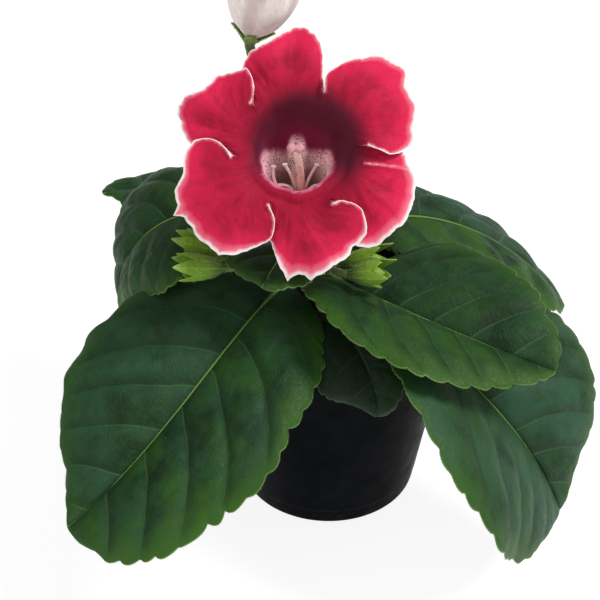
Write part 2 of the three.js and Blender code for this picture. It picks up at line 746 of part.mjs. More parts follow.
function corolla() {
  const frame = flowerFrame(BLOOM);
  const place = (rows) => rows.map((row) => row.map((p) => p.applyMatrix4(frame)));
  const around = Array.from({ length: COROLLA.sides }, (_, c) => (-TURN * c) / COROLLA.sides);
  const funnel = [];
  for (let r = 0; r <= COROLLA.funnelRows; r++) {
    const u = r / COROLLA.funnelRows;
    funnel.push(around.map((angle) => aroundLine(TUBE_LINE, u, angle, through(TUBE_RADII, u))));
  }
  for (const [radius, height] of COROLLA.lip)
    funnel.push(around.map((a) => vec(radius * Math.cos(a), radius * Math.sin(a), height)));
  let made = cup(place(funnel), COROLLA.thickness);
  LOBES.forEach((shape, i) => {
    const [angle, radius] = LOBES[(i + 1) % LOBES.length].margin[0];
    const nextNotch = [i === LOBES.length - 1 ? angle - 360 : angle, radius];
    made = made.add(plate(place(lobe(shape, nextNotch)), COROLLA.thickness));
  });
  return made;
}

// A calyx: a small cup that parts into pointed sepals. pointAt(distance, angle) gives its surface.
function calyx({ cupLength, sepalLength, thickness, turn, cupRows, sepalRows }, pointAt) {
  const { sepals, across } = CALYX;
  const columns = Array.from({ length: sepals }, (_, i) =>
    across.map((f) => ({ centre: turn + (TURN * i) / sepals, f })),
  ).flat();
  const spread = Math.PI / sepals;
  const rows = cupRows.map((k) =>
    columns.map(({ centre, f }) => pointAt(cupLength * k, centre + f * spread)),
  );
  for (const k of sepalRows)
    rows.push(
      columns.map(({ centre, f }) => {
        const reach = (1 - Math.abs(f)) ** CALYX.tipPower;
        const pinch = 1 - CALYX.pinch * k * (1 - Math.abs(f));
        const notch = Math.abs(f) === 1 ? CALYX.notchDepth * k * cupLength : 0;
        return pointAt(cupLength + notch + sepalLength * reach * k, centre + f * spread * pinch);
      }),
    );
  return cup(rows, thickness);
}

// A calyx and its stalk about a flower's foot. The calyx starts a little below the foot, clasps the
// flower at the given clearance and turns its sepals' tips outwards.
function calyxWithStalk({ frame, line, radii, length, clearance, shape, stem }) {
  const start = line.getTangent(0);
  const foot = line.getPoint(0);
  const pointAt = (distance, angle) => {
    const place = distance - CALYX.below;
    const u = Math.max(place, 0) / length;
    const rounding = Math.min(1, CALYX.footShare + distance / CALYX.footRise);
    const splay = shape.splay * Math.max(0, u - CALYX.splayFrom) ** CALYX.splayPower;
    const radius = (through(radii, u) + clearance) * rounding + splay;
    const at = aroundLine(line, u, angle, radius);
    return at.addScaledVector(start, Math.min(place, 0)).applyMatrix4(frame);
  };
  const behind = (distance) => foot.clone().addScaledVector(start, -distance).applyMatrix4(frame);
  const ends = [behind(CALYX.nod), behind(CALYX.below - 1)];
  const path = new THREE.CubicBezierCurve3(vec(...stem.from), vec(...stem.bend), ...ends);
  const radiusAt = (u) => stem.radius * mix(1, FLOWER_STALK.flare, u ** FLOWER_STALK.flarePower);
  return calyx(shape, pointAt)
    .add(stalk(path, radiusAt, stem.sides, FLOWER_STALK.steps))
    .subtract(turned(stemProfile(GAP), STEM.sides));
}

function bloomStalk() {
  return calyxWithStalk({
    frame: flowerFrame(BLOOM),
    line: TUBE_LINE,
    radii: TUBE_RADII,
    length: TUBE_LINE.getLength(),
    clearance: COROLLA.thickness / 2 + CALYX.thickness / 2 + 2 * GAP,
    shape: { cupLength: 8, sepalLength: 15, turn: 0.3, ...CALYX.open },
    stem: { from: [-1.5, -2, STEM.top - 4], bend: [-3, -5, STEM.top + 8], radius: 1.9, sides: STALK_SIDES },
  });
}

// The solid of a three.js geometry
function solidOfGeometry(geometry) {
  geometry.deleteAttribute("normal");
  geometry.deleteAttribute("uv");
  const merged = mergeVertices(geometry, BALL.merge);
  const position = merged.getAttribute("position");
  const vertices = [];
  for (let i = 0; i < position.count; i++) vertices.push(vec(0, 0, 0).fromBufferAttribute(position, i));
  const index = merged.getIndex().array;
  const triangles = [];
  for (let i = 0; i < index.length; i += 3) triangles.push([...index.subarray(i, i + 3)]);
  return solidOf(vertices, triangles);
}

// The pistil: ovary, style and a stigma of two lobes
function pistil() {
  const frame = flowerFrame(BLOOM);
  const foot = TUBE_LINE.getPoint(0).addScaledVector(TUBE_LINE.getTangent(0), COROLLA.thickness / 2 + GAP);
  const points = [foot, ...[...PISTIL.bends, PISTIL.end].map((p) => vec(...p))];
  const line = new THREE.CubicBezierCurve3(...points.map((p) => p.applyMatrix4(frame)));
  let made = stalk(line, (u) => through(PISTIL.radii, u), PISTIL.sides, PISTIL.steps);
  for (const way of [-1, 1]) {
    const [x, y, z] = PISTIL.stigmaAt;
    const ball = new THREE.SphereGeometry(1, BALL.around, BALL.along).scale(...PISTIL.stigma);
    made = made.add(solidOfGeometry(ball.translate(way * x, y, z).applyMatrix4(frame)));
  }
  return made;
}

// The stamens: a ring about the ovary and three pairs of filaments, each with its dried anther
function stamens() {
  const frame = flowerFrame(BLOOM);
  const { ringPlace, ringRadius, filamentRadius, filaments } = STAMENS;
  const centre = TUBE_LINE.getPoint(ringPlace);
  const tilt = new THREE.Quaternion().setFromUnitVectors(UP, TUBE_LINE.getTangent(ringPlace));
  const placed = new THREE.Matrix4().compose(centre, tilt, vec(1, 1, 1)).premultiply(frame);
  const ring = new THREE.TorusGeometry(ringRadius, STAMENS.ringThickness, ...STAMENS.ringSides);
  let made = solidOfGeometry(ring.applyMatrix4(placed));
  for (const { angle, bends, end } of filaments)
    for (const way of [-1, 1]) {
      const side = degrees(90 - way * (90 - angle));
      const root = aroundLine(TUBE_LINE, ringPlace, side, ringRadius);
      const points = [root, ...[...bends, end].map(([x, y, z]) => vec(way * x, y, z))];
      const line = new THREE.CubicBezierCurve3(...points.map((p) => p.applyMatrix4(frame)));
      const thread = stalk(line, () => filamentRadius, STAMENS.filamentSides, STAMENS.filamentSteps);
      const anther = new THREE.SphereGeometry(STAMENS.antherRadius, ...STAMENS.antherSides);
      made = made.add(thread).add(solidOfGeometry(anther.translate(...line.v3)));
    }
  return made;
}

// The large pale bud behind the bloom, its folded lobes closed to a dome
function budCorolla() {
  const frame = flowerFrame(BUD);
  const rings = [];
  for (let r = 0; r < BUD.rows; r++) {
    const u = r / (BUD.rows - 1 + BUD.lastRow);
    const pleat = BUD.pleat * Math.max(0, u - BUD.pleatFrom);
    const ring = [];
    for (let k = 0; k < BUD.sides; k++) {
      const angle = (TURN * k) / BUD.sides;
      const fold = 1 + pleat * Math.cos(BUD.folds * angle - BUD.twist * u ** 3);
      ring.push(aroundLine(BUD_LINE, u, angle, through(BUD_RADII, u) * fold).applyMatrix4(frame));
    }
    rings.push(ring);
  }
  return loft(rings, BUD_LINE.getPoint(0).applyMatrix4(frame), BUD_LINE.getPoint(1).applyMatrix4(frame));
}

function budStalk() {
  return calyxWithStalk({
    frame: flowerFrame(BUD),
    line: BUD_LINE,
    radii: BUD_RADII,
    length: BUD.length,
    clearance: CALYX.thickness / 2 + 2 * GAP,
    shape: { cupLength: 4, sepalLength: 7, turn: 0.9, ...CALYX.open },
    stem: { from: [-1, 2, STEM.top - 4], bend: [-8, 16, STEM.top + 36], radius: 1.7, sides: STALK_SIDES },
  });
}

// A young bud: its stalk, a closed calyx of five long sepals and the small green corolla inside them
function greenBud({ foot, tip, stalkFrom, stalkBend }) {
  const axis = vec(...tip).sub(vec(...foot));
  const length = axis.length();
  const frame = flowerFrame({ at: foot, facing: axis.toArray(), top: [0, 0, 1] });
  const line = new THREE.LineCurve3(vec(0, 0, 0), vec(0, 0, length));
  const { radii, core, cupShare, stalkRadius } = GREEN_BUD;
  const turns = Array.from({ length: GREEN_BUD.sides }, (_, k) => (TURN * k) / GREEN_BUD.sides);
  const rings = core.map(([u, radius]) =>
    turns.map((angle) => aroundLine(line, u, angle, radius).applyMatrix4(frame)),
  );
  const last = core[core.length - 1][0];
  const root = vec(0, 0, GREEN_BUD.coreFoot - CALYX.below).applyMatrix4(frame);
  const inner = loft(rings, root, line.getPoint(last + GREEN_BUD.coreTip).applyMatrix4(frame));
  return calyxWithStalk({
    frame,
    line,
    radii,
    length,
    clearance: 0,
    shape: {
      cupLength: length * cupShare,
      sepalLength: length * (1 - cupShare) + CALYX.below,
      turn: GREEN_BUD.turn,
      ...CALYX.closed,
    },
    stem: { from: stalkFrom, bend: stalkBend, radius: stalkRadius, sides: GREEN_BUD.sides },
  }).add(inner);
}

const group = new THREE.Group();
group.name = "gloxinia";
group.add(meshOf("pot", pot(), LOOKS.pot));
group.add(meshOf("soil", soil(), LOOKS.soil));
group.add(meshOf("stem", turned(stemProfile(0), STEM.sides), LOOKS.stem));
for (const shape of LEAVES) group.add(meshOf(shape.name, leaf(shape), LOOKS.leaf));
group.add(meshOf("bloom_corolla", corolla(), LOOKS.petal));
group.add(meshOf("bloom_stalk", bloomStalk(), LOOKS.calyx));
group.add(meshOf("bloom_pistil", pistil(), LOOKS.style));
group.add(meshOf("bloom_stamens", stamens(), LOOKS.filament));
group.add(meshOf("bud_corolla", budCorolla(), LOOKS.paleBud));
group.add(meshOf("bud_stalk", budStalk(), LOOKS.calyx));
for (const bud of GREEN_BUDS) group.add(meshOf(bud.name, greenBud(bud), LOOKS.calyx));

export default group;
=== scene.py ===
"""A gloxinia in its nursery pot: leaves, flowers, buds, stalks, soil and pot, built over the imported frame.

Shapes are worked out in millimetres with numpy, as grids of points, and are written to meshes in metres.
"""

import math

import bpy
import numpy as np
from bpy.props import FloatProperty, FloatVectorProperty, IntProperty, PointerProperty
from bpy.types import Operator, Panel, PropertyGroup
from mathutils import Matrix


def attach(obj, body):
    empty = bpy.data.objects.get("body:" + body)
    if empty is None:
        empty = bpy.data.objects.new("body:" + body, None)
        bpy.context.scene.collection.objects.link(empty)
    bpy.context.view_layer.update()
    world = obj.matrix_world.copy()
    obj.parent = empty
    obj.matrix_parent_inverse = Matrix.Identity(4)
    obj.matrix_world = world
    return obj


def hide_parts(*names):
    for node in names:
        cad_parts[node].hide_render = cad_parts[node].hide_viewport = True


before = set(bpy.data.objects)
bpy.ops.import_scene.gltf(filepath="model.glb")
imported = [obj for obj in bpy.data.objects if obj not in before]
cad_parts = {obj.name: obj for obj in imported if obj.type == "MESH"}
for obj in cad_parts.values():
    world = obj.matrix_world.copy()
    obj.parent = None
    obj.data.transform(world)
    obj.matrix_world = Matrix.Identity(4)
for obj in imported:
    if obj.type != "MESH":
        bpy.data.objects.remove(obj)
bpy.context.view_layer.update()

bl_info = {
    "name": "Potted gloxinia",
    "version": (1, 0, 0),
    "blender": (4, 5, 0),
    "location": "3D View > Sidebar > Gloxinia",
    "description": "Builds a gloxinia in its nursery pot, piece by piece, and the stage that it stands on",
    "category": "Add Mesh",
}

MM = 0.001
UP = np.array([0.0, 0.0, 1.0])
TURN = 2 * np.pi
WELD_CELL, WELD_SHIFT = 1e-4, 0.37

# The pot and its soil
POT_HEIGHT, RIM_RADIUS, COLLAR_FOOT, COLLAR_STEP = 108, 60, 94, 2.2
BASE_RADIUS, POT_WALL, POT_FLOOR, FOOT_BEVEL = 43, 1.4, 2.4, 1.6
HOLES, HOLE_RADIUS, HOLE_RING, HOLE_SECTOR, POT_SIDES = 6, 4, 27, 9, 192
SOIL_TOP, SOIL_MOUND, SOIL_SIDES, SOIL_RINGS = 98, 3, 200, 80
CRUMBS, PALE_EVERY = 330, 9

# The short stem: profile of radius and height
STEM = [[0, 84], [3.6, 84.4], [5.6, 87], [6.8, 92], [7, 98], [5.9, 103], [5.1, 109], [4.9, 116], [4.6, 123],
         [4.1, 129], [3.2, 132.2], [1.6, 133.8], [0, 134]]
STEM_ROWS, STEM_SIDES, STEM_HAIR_COUNT = 70, 64, 1500

# Leaves. spine: the midrib as a curve's four points; foot: where the blade starts along it.
# half: widths of the two halves; roll: turn about the midrib at stem and tip, in degrees.
# left, right: slope of each half beside the midrib and at its margin, in degrees.
# lean: forward sweep of the veins; widest, heel, apex: shape of the outline and of its two ends.
# veins: pairs of side veins; wave, phase: ripple of the margin; sky, lime: share of painted bluish sky
# reflection and of painted yellow-green light shining through, on the left and the right half; teeth: how
# deep their teeth are; dim: share of painted shade.
LEAVES = [
    dict(name="leaf_front_left", spine=[[-4, -5, 116], [-26, -21, 139.5], [-58, -81, 93], [-109, -107, 60]],
         foot=0.22, half=[52, 55], roll=[4, 12], left=[24, -22], right=[30, -11], lean=0.13, widest=1.18,
         heel=0.38, apex=[0.37, 0.88], veins=7, wave=1.6, phase=0.4, sky=[0.35, 0.45], lime=[0.5, 0.05],
         teeth=[1.25, 0.35]),
    dict(name="leaf_right", spine=[[1, -6, 116], [-4, -29, 133], [43, -56, 124], [90, -74, 115]],
         foot=0.16, half=[46, 46], roll=[19, -16], left=[27, 0], right=[35, -5], lean=0.14, widest=0.95,
         heel=0.63, apex=[0.42, 0.68], veins=7, wave=1.2, phase=1.9, sky=[0.3, 0.1], lime=[0.3, 0.6]),
    dict(name="leaf_front_right", spine=[[5, -3, 108], [36, -69, 132], [86, -67, 80], [104, -62, 26]],
         foot=0.22, half=[60, 61], roll=[15, -15], left=[37, -10], right=[30, -4], lean=0.16, widest=0.99,
         heel=0.57, apex=[0.98, 0.4], veins=7, wave=1.6, phase=3.1, sky=[0.9, 0.75], lime=[0.05, 0.3]),
    dict(name="leaf_far_right", spine=[[5, 1, 119], [5, 12, 151], [78, 41, 129], [117, 33, 74]],
         foot=0.2, half=[41, 38], roll=[2, -4], left=[11, -24], right=[-4, -30], lean=0.13, widest=0.95,
         heel=0.5, apex=[0.5, 0.45], veins=6, wave=1.4, phase=2.2, sky=[0.95, 0.1], lime=[0, 0.85]),
    dict(name="leaf_left", spine=[[-5, 1, 122], [-46, 14, 157], [-98, 1, 148], [-97, -1, 94]],
         foot=0.22, half=[42.5, 43], roll=[2, 16], left=[15, -18], right=[18, -21], lean=0.14, widest=1.07,
         heel=0.5, apex=[1.3, 1.14], veins=6, wave=1.3, phase=0.9, sky=[0.1, 0.2], lime=[0.35, 0.3],
         teeth=[0.3, 1]),
    dict(name="leaf_far_left", spine=[[-4, 4, 112], [-35, 30, 150], [-83, 71, 121], [-110, 56, 124]],
         foot=0.22, half=[32, 32], roll=[-4, -1], left=[15, -20], right=[12, -22], lean=0.14, widest=0.9,
         heel=0.55, apex=[0.87, 0.66], veins=5, wave=1.2, phase=4.0, sky=[0.6, 0.8], lime=[0, 0]),
    dict(name="leaf_under_bloom", spine=[[-3, -4, 126], [-18, -24, 157], [-26, -58, 150], [-29, -60, 147]],
         foot=0.25, half=[18, 22], roll=[0, 1], left=[9, -16], right=[9, -15], lean=0.14, widest=0.9,
         heel=0.55, apex=[0.79, 0.79], veins=4, wave=0.8, phase=1.2, sky=[0.1, 0.1], lime=[0.2, 0.2]),
    # This leaf lies in shade, which its dim share paints
    dict(name="leaf_over_rim", spine=[[-1, -5, 107], [-5, -44, 131], [24, -73, 108], [17, -74, 92]],
         foot=0.25, half=[15, 23], roll=[-4, -5], left=[12, -21], right=[9, -20], lean=0.13, widest=0.94,
         heel=0.52, apex=[0.44, 0.76], veins=4, wave=0.7, phase=2.7, sky=[0.2, 0.1], lime=[0, 0], dim=0.7),
    dict(name="leaf_back_left", spine=[[-3, 5, 119], [-12, 42, 140], [-38, 82, 112], [-44, 100, 56]],
         foot=0.22, half=[34, 38], roll=[4, 4], left=[10, -30], right=[12, -26], lean=0.14, widest=0.93,
         heel=0.55, apex=[0.75, 0.75], veins=5, wave=1.5, phase=5.0, sky=[0.4, 0.3], lime=[0.1, 0.3]),
    dict(name="leaf_back", spine=[[0, 6, 106], [4, 46, 133], [6, 92, 106], [8, 105, 46]],
         foot=0.22, half=[34, 34], roll=[0, 0], left=[10, -26], right=[14, -28], lean=0.14, widest=0.95,
         heel=0.52, apex=[0.72, 0.76], veins=5, wave=1.6, phase=0.2, sky=[0.3, 0.2], lime=[0.2, 0.3]),
    dict(name="leaf_back_right", spine=[[4, 4, 114], [26, 32, 146], [56, 74, 118], [72, 92, 60]],
         foot=0.22, half=[38, 36], roll=[2, 4], left=[10, -26], right=[12, -30], lean=0.14, widest=0.93,
         heel=0.55, apex=[0.78, 0.74], veins=5, wave=1.4, phase=3.6, sky=[0.4, 0.5], lime=[0.3, 0.1]),
]
PUFF, PETIOLE_RADIUS, KEEL, FULL_HALF = 2.6, 2.5, 1.3, 40
MARGIN_PLACES, ROWS_PER_VEIN, PETIOLE_ROWS, PETIOLE_SIDES, PETIOLE_HAIRS = 3000, 26, 44, 20, 500

# The open flower: its place, and its lobes' margins, clockwise from notch to notch, as angle and radius.
# over: whether each lobe's first and second side lies above (1) or below (-1) its neighbour.
# nubs: angle, height and half width of small points on the margin. crease: ends of a fold, as angle and
# radius.
BLOOM = dict(at=[-15, -40, 198], facing=[0, -0.848, 0.53], top=[0, 0.53, 0.848])
LOBES = [
    dict(over=[-1, -0.6], wave=0.6, margin=[
        [134, 26], [129, 31], [126, 36], [122, 40], [114, 43], [103, 45], [96, 47], [90, 49], [83, 47],
        [77, 42], [73.3, 35.2], [70.4, 30.2]]),
    dict(over=[0.6, 1], wave=2.1, margin=[
        [65, 25.5], [68.6, 32.4], [62, 39], [52, 47], [43, 52], [37, 53.5], [31, 50], [21, 50], [11, 47],
        [2, 43.5], [-2, 37], [1, 32]]),
    dict(over=[-1, -1], wave=3.9, crease=[[-10, 27], [-8.5, 46]], margin=[
        [5, 28], [4, 33], [2, 38], [-2, 43], [-7, 45], [-13, 48], [-19, 49.5], [-29, 50.5], [-41, 49],
        [-52, 47.5], [-58, 43], [-58, 36], [-57, 30]]),
    dict(over=[1, -1], wave=5.2, nubs=[[-94.5, 1.8, 1.4], [-84, 0.9, 1.5]], margin=[
        [-56, 25], [-46, 27], [-42, 32], [-44, 37], [-50, 42], [-61, 44.5], [-72, 47.5], [-81, 50],
        [-89, 48.5], [-94.5, 49.5], [-101, 42.5], [-107, 36], [-112, 30]]),
    dict(over=[1, 1], wave=1.3, nubs=[[-153, 3.4, 1.9], [-128, 0.8, 1.6]], margin=[
        [-118, 24], [-108, 28], [-107, 36], [-115, 42], [-122, 48], [-134, 51], [-143, 51.5],
        [-153.4, 51.3], [-162, 51], [-170, 45], [-178, 44], [-185, 41], [-188, 35], [-185, 29.5]]),
    dict(over=[-1, 1], wave=4.4, margin=[
        [-175, 26], [-182, 32], [-183, 38], [-185, 43], [-194, 47.5], [-201, 50.5], [-207, 48.5],
        [-215, 44], [-223, 43], [-231, 39.5], [-238, 38], [-238, 33], [-233, 28]]),
]
TUBE = np.array([[0, -20, -43], [0, -1, -13], [0, 0, -4.2]], float)
TUBE_RADII = [[0, 4], [0.1, 6.6], [0.25, 10], [0.45, 13.2], [0.65, 14.6], [0.8, 15.2], [0.92, 16.6],
              [1, 19]]
LIP = [[20.2, -3.3], [21.2, -2.5], [22.2, -1.6]]
LIP_RADIUS, LIP_DEPTH = LIP[-1][0], 1.06
BRIM, BEND_BACK, LAP, FRILL = 0.6, 4.5, 1.7, 1.3
LOBE_COLUMNS, LOBE_ROWS, TUBE_ROWS = 78, 36, 28
# How far up the tube its pale tissue reaches, at sines from the lower to the upper side
THROAT_EDGE = [[-1, -0.8, -0.2, 0, 0.26, 0.5, 0.707, 0.866, 1],
               [0.91, 0.92, 0.86, 0.77, 0.69, 0.56, 0.46, 0.4, 0.35]]

# The calyx starts below a flower's foot, where its stalk nods over
CALYX_BELOW, CALYX_NOD = 3, 14
SEPALS, SEPAL_COLUMNS, SEPAL_ROWS, CUP_ROWS, STALK_ROWS, STALK_SIDES = 5, 20, 21, 10, 60, 20

# Pistil and stamens, in the flower's own frame
PISTIL_BENDS, PISTIL_END = [[2.6, -14.5, -28], [1.6, -6, -12]], [-0.3, 0.6, -3]
PISTIL_RADII = [[0, 1.9], [0.07, 2.8], [0.16, 2.5], [0.28, 1.8], [0.9, 1.5], [1, 1.6]]
STIGMA_HALF, STIGMA_AT = [3.5, 2.0, 1.6], [-0.5, 1.6, -2.4]
FILAMENTS = [
    dict(angle=-20, bends=[[6, -17.5, -26], [12, -13, -15]], end=[11, -5.2, -12.5]),
    dict(angle=-60, bends=[[1.5, -16, -30], [3, -11.5, -19]], end=[9, -12.4, -16.5]),
    dict(angle=30, bends=[[1.2, -15, -31], [1.6, -11.5, -20]], end=[6.4, -4.4, -13.5]),
]
FILAMENT_SHIFT = np.array([1.5, 0, 0])
FILAMENT_RING, FILAMENT_FOOT, THREAD_RADIUS, ANTHER_HALF = 0.065, 4.1, 0.72, [1.1, 0.85, 0.7]
HEART_ROWS, STYLE_SIDES, THREAD_SIDES, RING_PLACES, RING_SIDES = 70, 24, 14, 48, 10

# The large pale bud
BUD = dict(at=[-34, 10, 225], facing=[0.24, -0.2, 0.95], top=[0, 1, 0.2])
BUD_LENGTH, BUD_FOLDS, BUD_TWIST = 46, 5, 1.6
BUD_ROWS, BUD_COLUMNS = 80, 160
BUD_RADII = [[0, 3.2], [0.08, 6], [0.2, 10.6], [0.4, 14.2], [0.6, 15], [0.78, 13.8], [0.92, 9], [1, 1.5]]

# The young buds
YOUNG_BUDS = [
    dict(name="bud_left_upper", foot=[-44, -32, 145], tip=[-68, -33, 154],
         start=[-2, 1, 129], bend=[-20, -4, 150]),
    dict(name="bud_left_lower", foot=[-47, -44, 146], tip=[-67, -49, 150],
         start=[-3, -1, 124], bend=[-22, -12, 134]),
    dict(name="bud_right_upper", foot=[5, -28, 138], tip=[26, -30, 143],
         start=[2, -1, 126], bend=[11, -8, 142]),
    dict(name="bud_right_lower", foot=[8, -44, 143], tip=[25, -49, 147],
         start=[1, -3, 127], bend=[-4, -18, 144]),
]
YOUNG_RADII = [[0, 2.2], [0.15, 3.8], [0.4, 4.6], [0.65, 4.2], [0.85, 3], [1, 2.4]]
YOUNG_CORE = [[0, 0.8], [0.03, 1.6], [0.2, 2.9], [0.4, 3.5], [0.6, 2.6], [0.72, 1.2]]

# Colours that the materials mix in
# LEAF_SHADE is the painted shade laid over a leaf that lies in shade
LEAF_SHADE, LEAF_HAIR = (0.004, 0.0075, 0.005), (0.2, 0.3, 0.14)
UNDER_NET, UNDER_RIBS = (0.2, 0.33, 0.13), (0.3, 0.42, 0.18)
PETIOLE_DARK, PETIOLE_LIGHT = (0.06, 0.12, 0.025), (0.15, 0.24, 0.05)
THROAT_ROSE, THROAT_BUFF = (0.62, 0.16, 0.26), (0.6, 0.45, 0.36)
THROAT_SHADE, THROAT_FRINGE = (0.09, 0.036, 0.026), (0.42, 0.09, 0.2)
TUBE_FOOT, TUBE_RED, PETAL_BACK = (0.62, 0.42, 0.36), (0.45, 0.07, 0.12), (0.62, 0.22, 0.28)
STALK_DARK, STALK_LIGHT, CALYX_HAIR = (0.06, 0.12, 0.03), (0.17, 0.2, 0.07), (0.5, 0.58, 0.36)
STYLE_DARK, STYLE_LIGHT, STIGMA = (0.72, 0.47, 0.41), (0.9, 0.64, 0.55), (0.68, 0.3, 0.34)
THREAD_FOOT, THREAD_PALE, THREAD_STAIN = (0.75, 0.5, 0.43), (0.95, 0.74, 0.68), (0.34, 0.2, 0.17)
ANTHER, BUD_FOOT = (0.74, 0.6, 0.52), (0.45, 0.5, 0.28)
PLASTIC_GREY, DUST, SCUFF = (0.0045, 0.005, 0.0063), (0.12, 0.1, 0.08), (0.07, 0.07, 0.075)
SOIL_DARK, FIBRE, GRIT = (0.012, 0.008, 0.006), (0.1, 0.065, 0.035), (0.55, 0.52, 0.46)
STEM_DARK, STEM_LIGHT, STEM_HAIR = (0.07, 0.13, 0.03), (0.17, 0.26, 0.07), (0.45, 0.5, 0.33)
STEM_BROWN = (0.11, 0.075, 0.035)

# The stage, in metres and degrees. Each sun has its lean, its turn and the spread of its light.
FLOOR_HALF, FLOOR_GLOW = 5.0, 0.86
SUNS = {"key": (38, 75, 18), "fill": (50, -25, 60)}
CAMERA_AT, CAMERA_TILT, CAMERA_LENS, CAMERA_SENSOR = (-0.0138, -0.476, 0.428), 55.4, 75, 36


# Arithmetic on arrays of points

def unit(v):
    return v / np.maximum(np.linalg.norm(v, axis=-1, keepdims=True), 1e-12)


def mix(a, b, k):
    return a + (b - a) * k


def smooth(low, high, x):
    """A soft step from 0 at low to 1 at high."""
    t = np.clip((x - low) / (high - low), 0, 1)
    return t * t * (3 - 2 * t)


def turns(count):
    """Angles evenly spaced over a full turn."""
    return np.linspace(0, TURN, count, endpoint=False)


def polar(radius, angle, *height):
    """Points from radius and angle, with a height if one is given."""
    return np.stack([radius * np.cos(angle), radius * np.sin(angle), *height], -1)


def distance_run(points):
    """Distance run along a line of points to each of them."""
    return np.concatenate([[0], np.cumsum(np.linalg.norm(np.diff(points, axis=0), axis=1))])


def hermite(f):
    """Weights of a cubic's start, starting slope, end and end slope at a place f of it."""
    return 2 * f**3 - 3 * f**2 + 1, f**3 - 2 * f**2 + f, 3 * f**2 - 2 * f**3, f**3 - f**2


def through(table, x):
    """Smooth curve through rows of place and value: a cubic on each span, whose slope at a row is that of
    the chord between the rows beside it."""
    place, value = np.array(table, float)[:, :1].ravel(), np.array(table, float)[:, 1:]
    rise = np.empty_like(value)
    rise[1:-1] = (value[2:] - value[:-2]) / (place[2:] - place[:-2])[:, None]
    rise[0] = (value[1] - value[0]) / (place[1] - place[0])
    rise[-1] = (value[-1] - value[-2]) / (place[-1] - place[-2])
    x = np.asarray(x, float)
    i = np.clip(np.searchsorted(place, x, side="right") - 1, 0, len(place) - 2)
    span = (place[i + 1] - place[i])[..., None]
    start, leave, end, arrive = hermite(np.clip((x - place[i])[..., None] / span, 0, 1))
    found = start * value[i] + leave * span * rise[i] + end * value[i + 1] + arrive * span * rise[i + 1]
    return found[..., 0] if value.shape[1] == 1 else found


def cubic(points, u):
    """Place and direction on a Bezier curve of four points."""
    a, b, c, d = np.asarray(points, float)
    u = np.asarray(u, float)[..., None]
    v = 1 - u
    at = v**3 * a + 3 * v * v * u * b + 3 * v * u * u * c + u**3 * d
    return at, unit(v * v * (b - a) + 2 * v * u * (c - b) + u * u * (d - c))


def tube_line(u):
    """Place and direction on the bloom's centre line, a Bezier curve of three points."""
    u = np.asarray(u, float)[..., None]
    at = (1 - u) ** 2 * TUBE[0] + 2 * u * (1 - u) * TUBE[1] + u * u * TUBE[2]
    return at, unit((1 - u) * (TUBE[1] - TUBE[0]) + u * (TUBE[2] - TUBE[1]))


def straight_line(length):
    """A line up a flower's own axis, as a function of the share of its length."""
    def line(u):
        u = np.asarray(u, float)[..., None]
        return u * length * UP, np.broadcast_to(UP, u.shape[:-1] + (3,))
    return line


def around_line(line, u, angle, radius):
    """Points about a bent centre line: its place at u, plus radius times the direction at that angle,
    counted anticlockwise from the flower's right."""
    at, along = line(u)
    up = unit(np.array([0.0, 1.0, 0.0]) - along * along[..., 1:2])
    right = np.cross(up, along)
    return at + radius[..., None] * (right * np.cos(angle)[..., None] + up * np.sin(angle)[..., None])


def flower_frame(at, facing, top):
    """Function that takes points from a flower's own frame, z out of its mouth, to the object's."""
    z = unit(np.array(facing, float))
    x = unit(np.cross(np.array(top, float), z))
    axes = np.stack([x, np.cross(z, x), z])
    return lambda points: np.asarray(points, float) @ axes + np.array(at, float)


LAYERS, CELLS = 8, 64
LATTICE = np.random.default_rng(11).random((LAYERS, CELLS, CELLS))


def noise(x, y, layer=0):
    """Smooth noise from -1 to 1: random values on a square lattice of unit cells, blended between them."""
    table = LATTICE[layer]
    x, y = np.broadcast_arrays(np.asarray(x, float), np.asarray(y, float))
    i, j = np.floor(x).astype(int), np.floor(y).astype(int)
    f, g = smooth(0, 1, x - i), smooth(0, 1, y - j)
    i, j, right, up = i % CELLS, j % CELLS, (i + 1) % CELLS, (j + 1) % CELLS
    near, far = mix(table[i, j], table[right, j], f), mix(table[i, up], table[right, up], f)
    return 2 * mix(near, far, g) - 1


# Skins: points, four-cornered and three-cornered faces, and the marks that materials read

def skin(points, quads, marks=None, triangles=None):
    """A skin as a table of its parts. Marks are values or vectors, one for each point."""
    marks = {k: np.asarray(v, float) for k, v in (marks or {}).items()}
    triangles = np.zeros((0, 3), int) if triangles is None else triangles
    return dict(points=points, quads=quads, triangles=triangles, marks=marks)


def grid_faces(rows, columns, closed=False):
    """Faces of a grid of points, facing along its column direction crossed with its row direction."""
    i = np.arange(rows - 1)[:, None]
    j = np.arange(columns if closed else columns - 1)[None, :]
    a, b = i * columns + j, i * columns + (j + 1) % columns
    return np.stack([a, b, b + columns, a + columns], -1).reshape(-1, 4)


def grid_skin(grid, marks=None, closed=True):
    """A skin from a grid of points. A row whose points all coincide is a pole."""
    rows, columns = grid.shape[:2]
    flat = {}
    for key, value in (marks or {}).items():
        value = np.asarray(value, float)
        vector = value.ndim and value.shape[-1] == 3 and value.ndim != 2
        shape = (rows, columns, 3) if vector else (rows, columns)
        flat[key] = np.broadcast_to(value, shape).reshape((-1, 3) if vector else (-1,))
    return skin(grid.reshape(-1, 3), grid_faces(rows, columns, closed), flat)


def joined(skins):
    """Several skins as one. A mark that a skin lacks is nought there."""
    names = {k: v.shape[1:] for s in skins for k, v in s["marks"].items()}
    starts = np.cumsum([0] + [len(s["points"]) for s in skins])
    marks = {
        k: np.concatenate([s["marks"].get(k, np.zeros((len(s["points"]),) + shape)) for s in skins])
        for k, shape in names.items()
    }
    return skin(
        np.concatenate([s["points"] for s in skins]),
        np.concatenate([s["quads"] + n for s, n in zip(skins, starts)]),
        marks,
        np.concatenate([s["triangles"] + n for s, n in zip(skins, starts)]),
    )


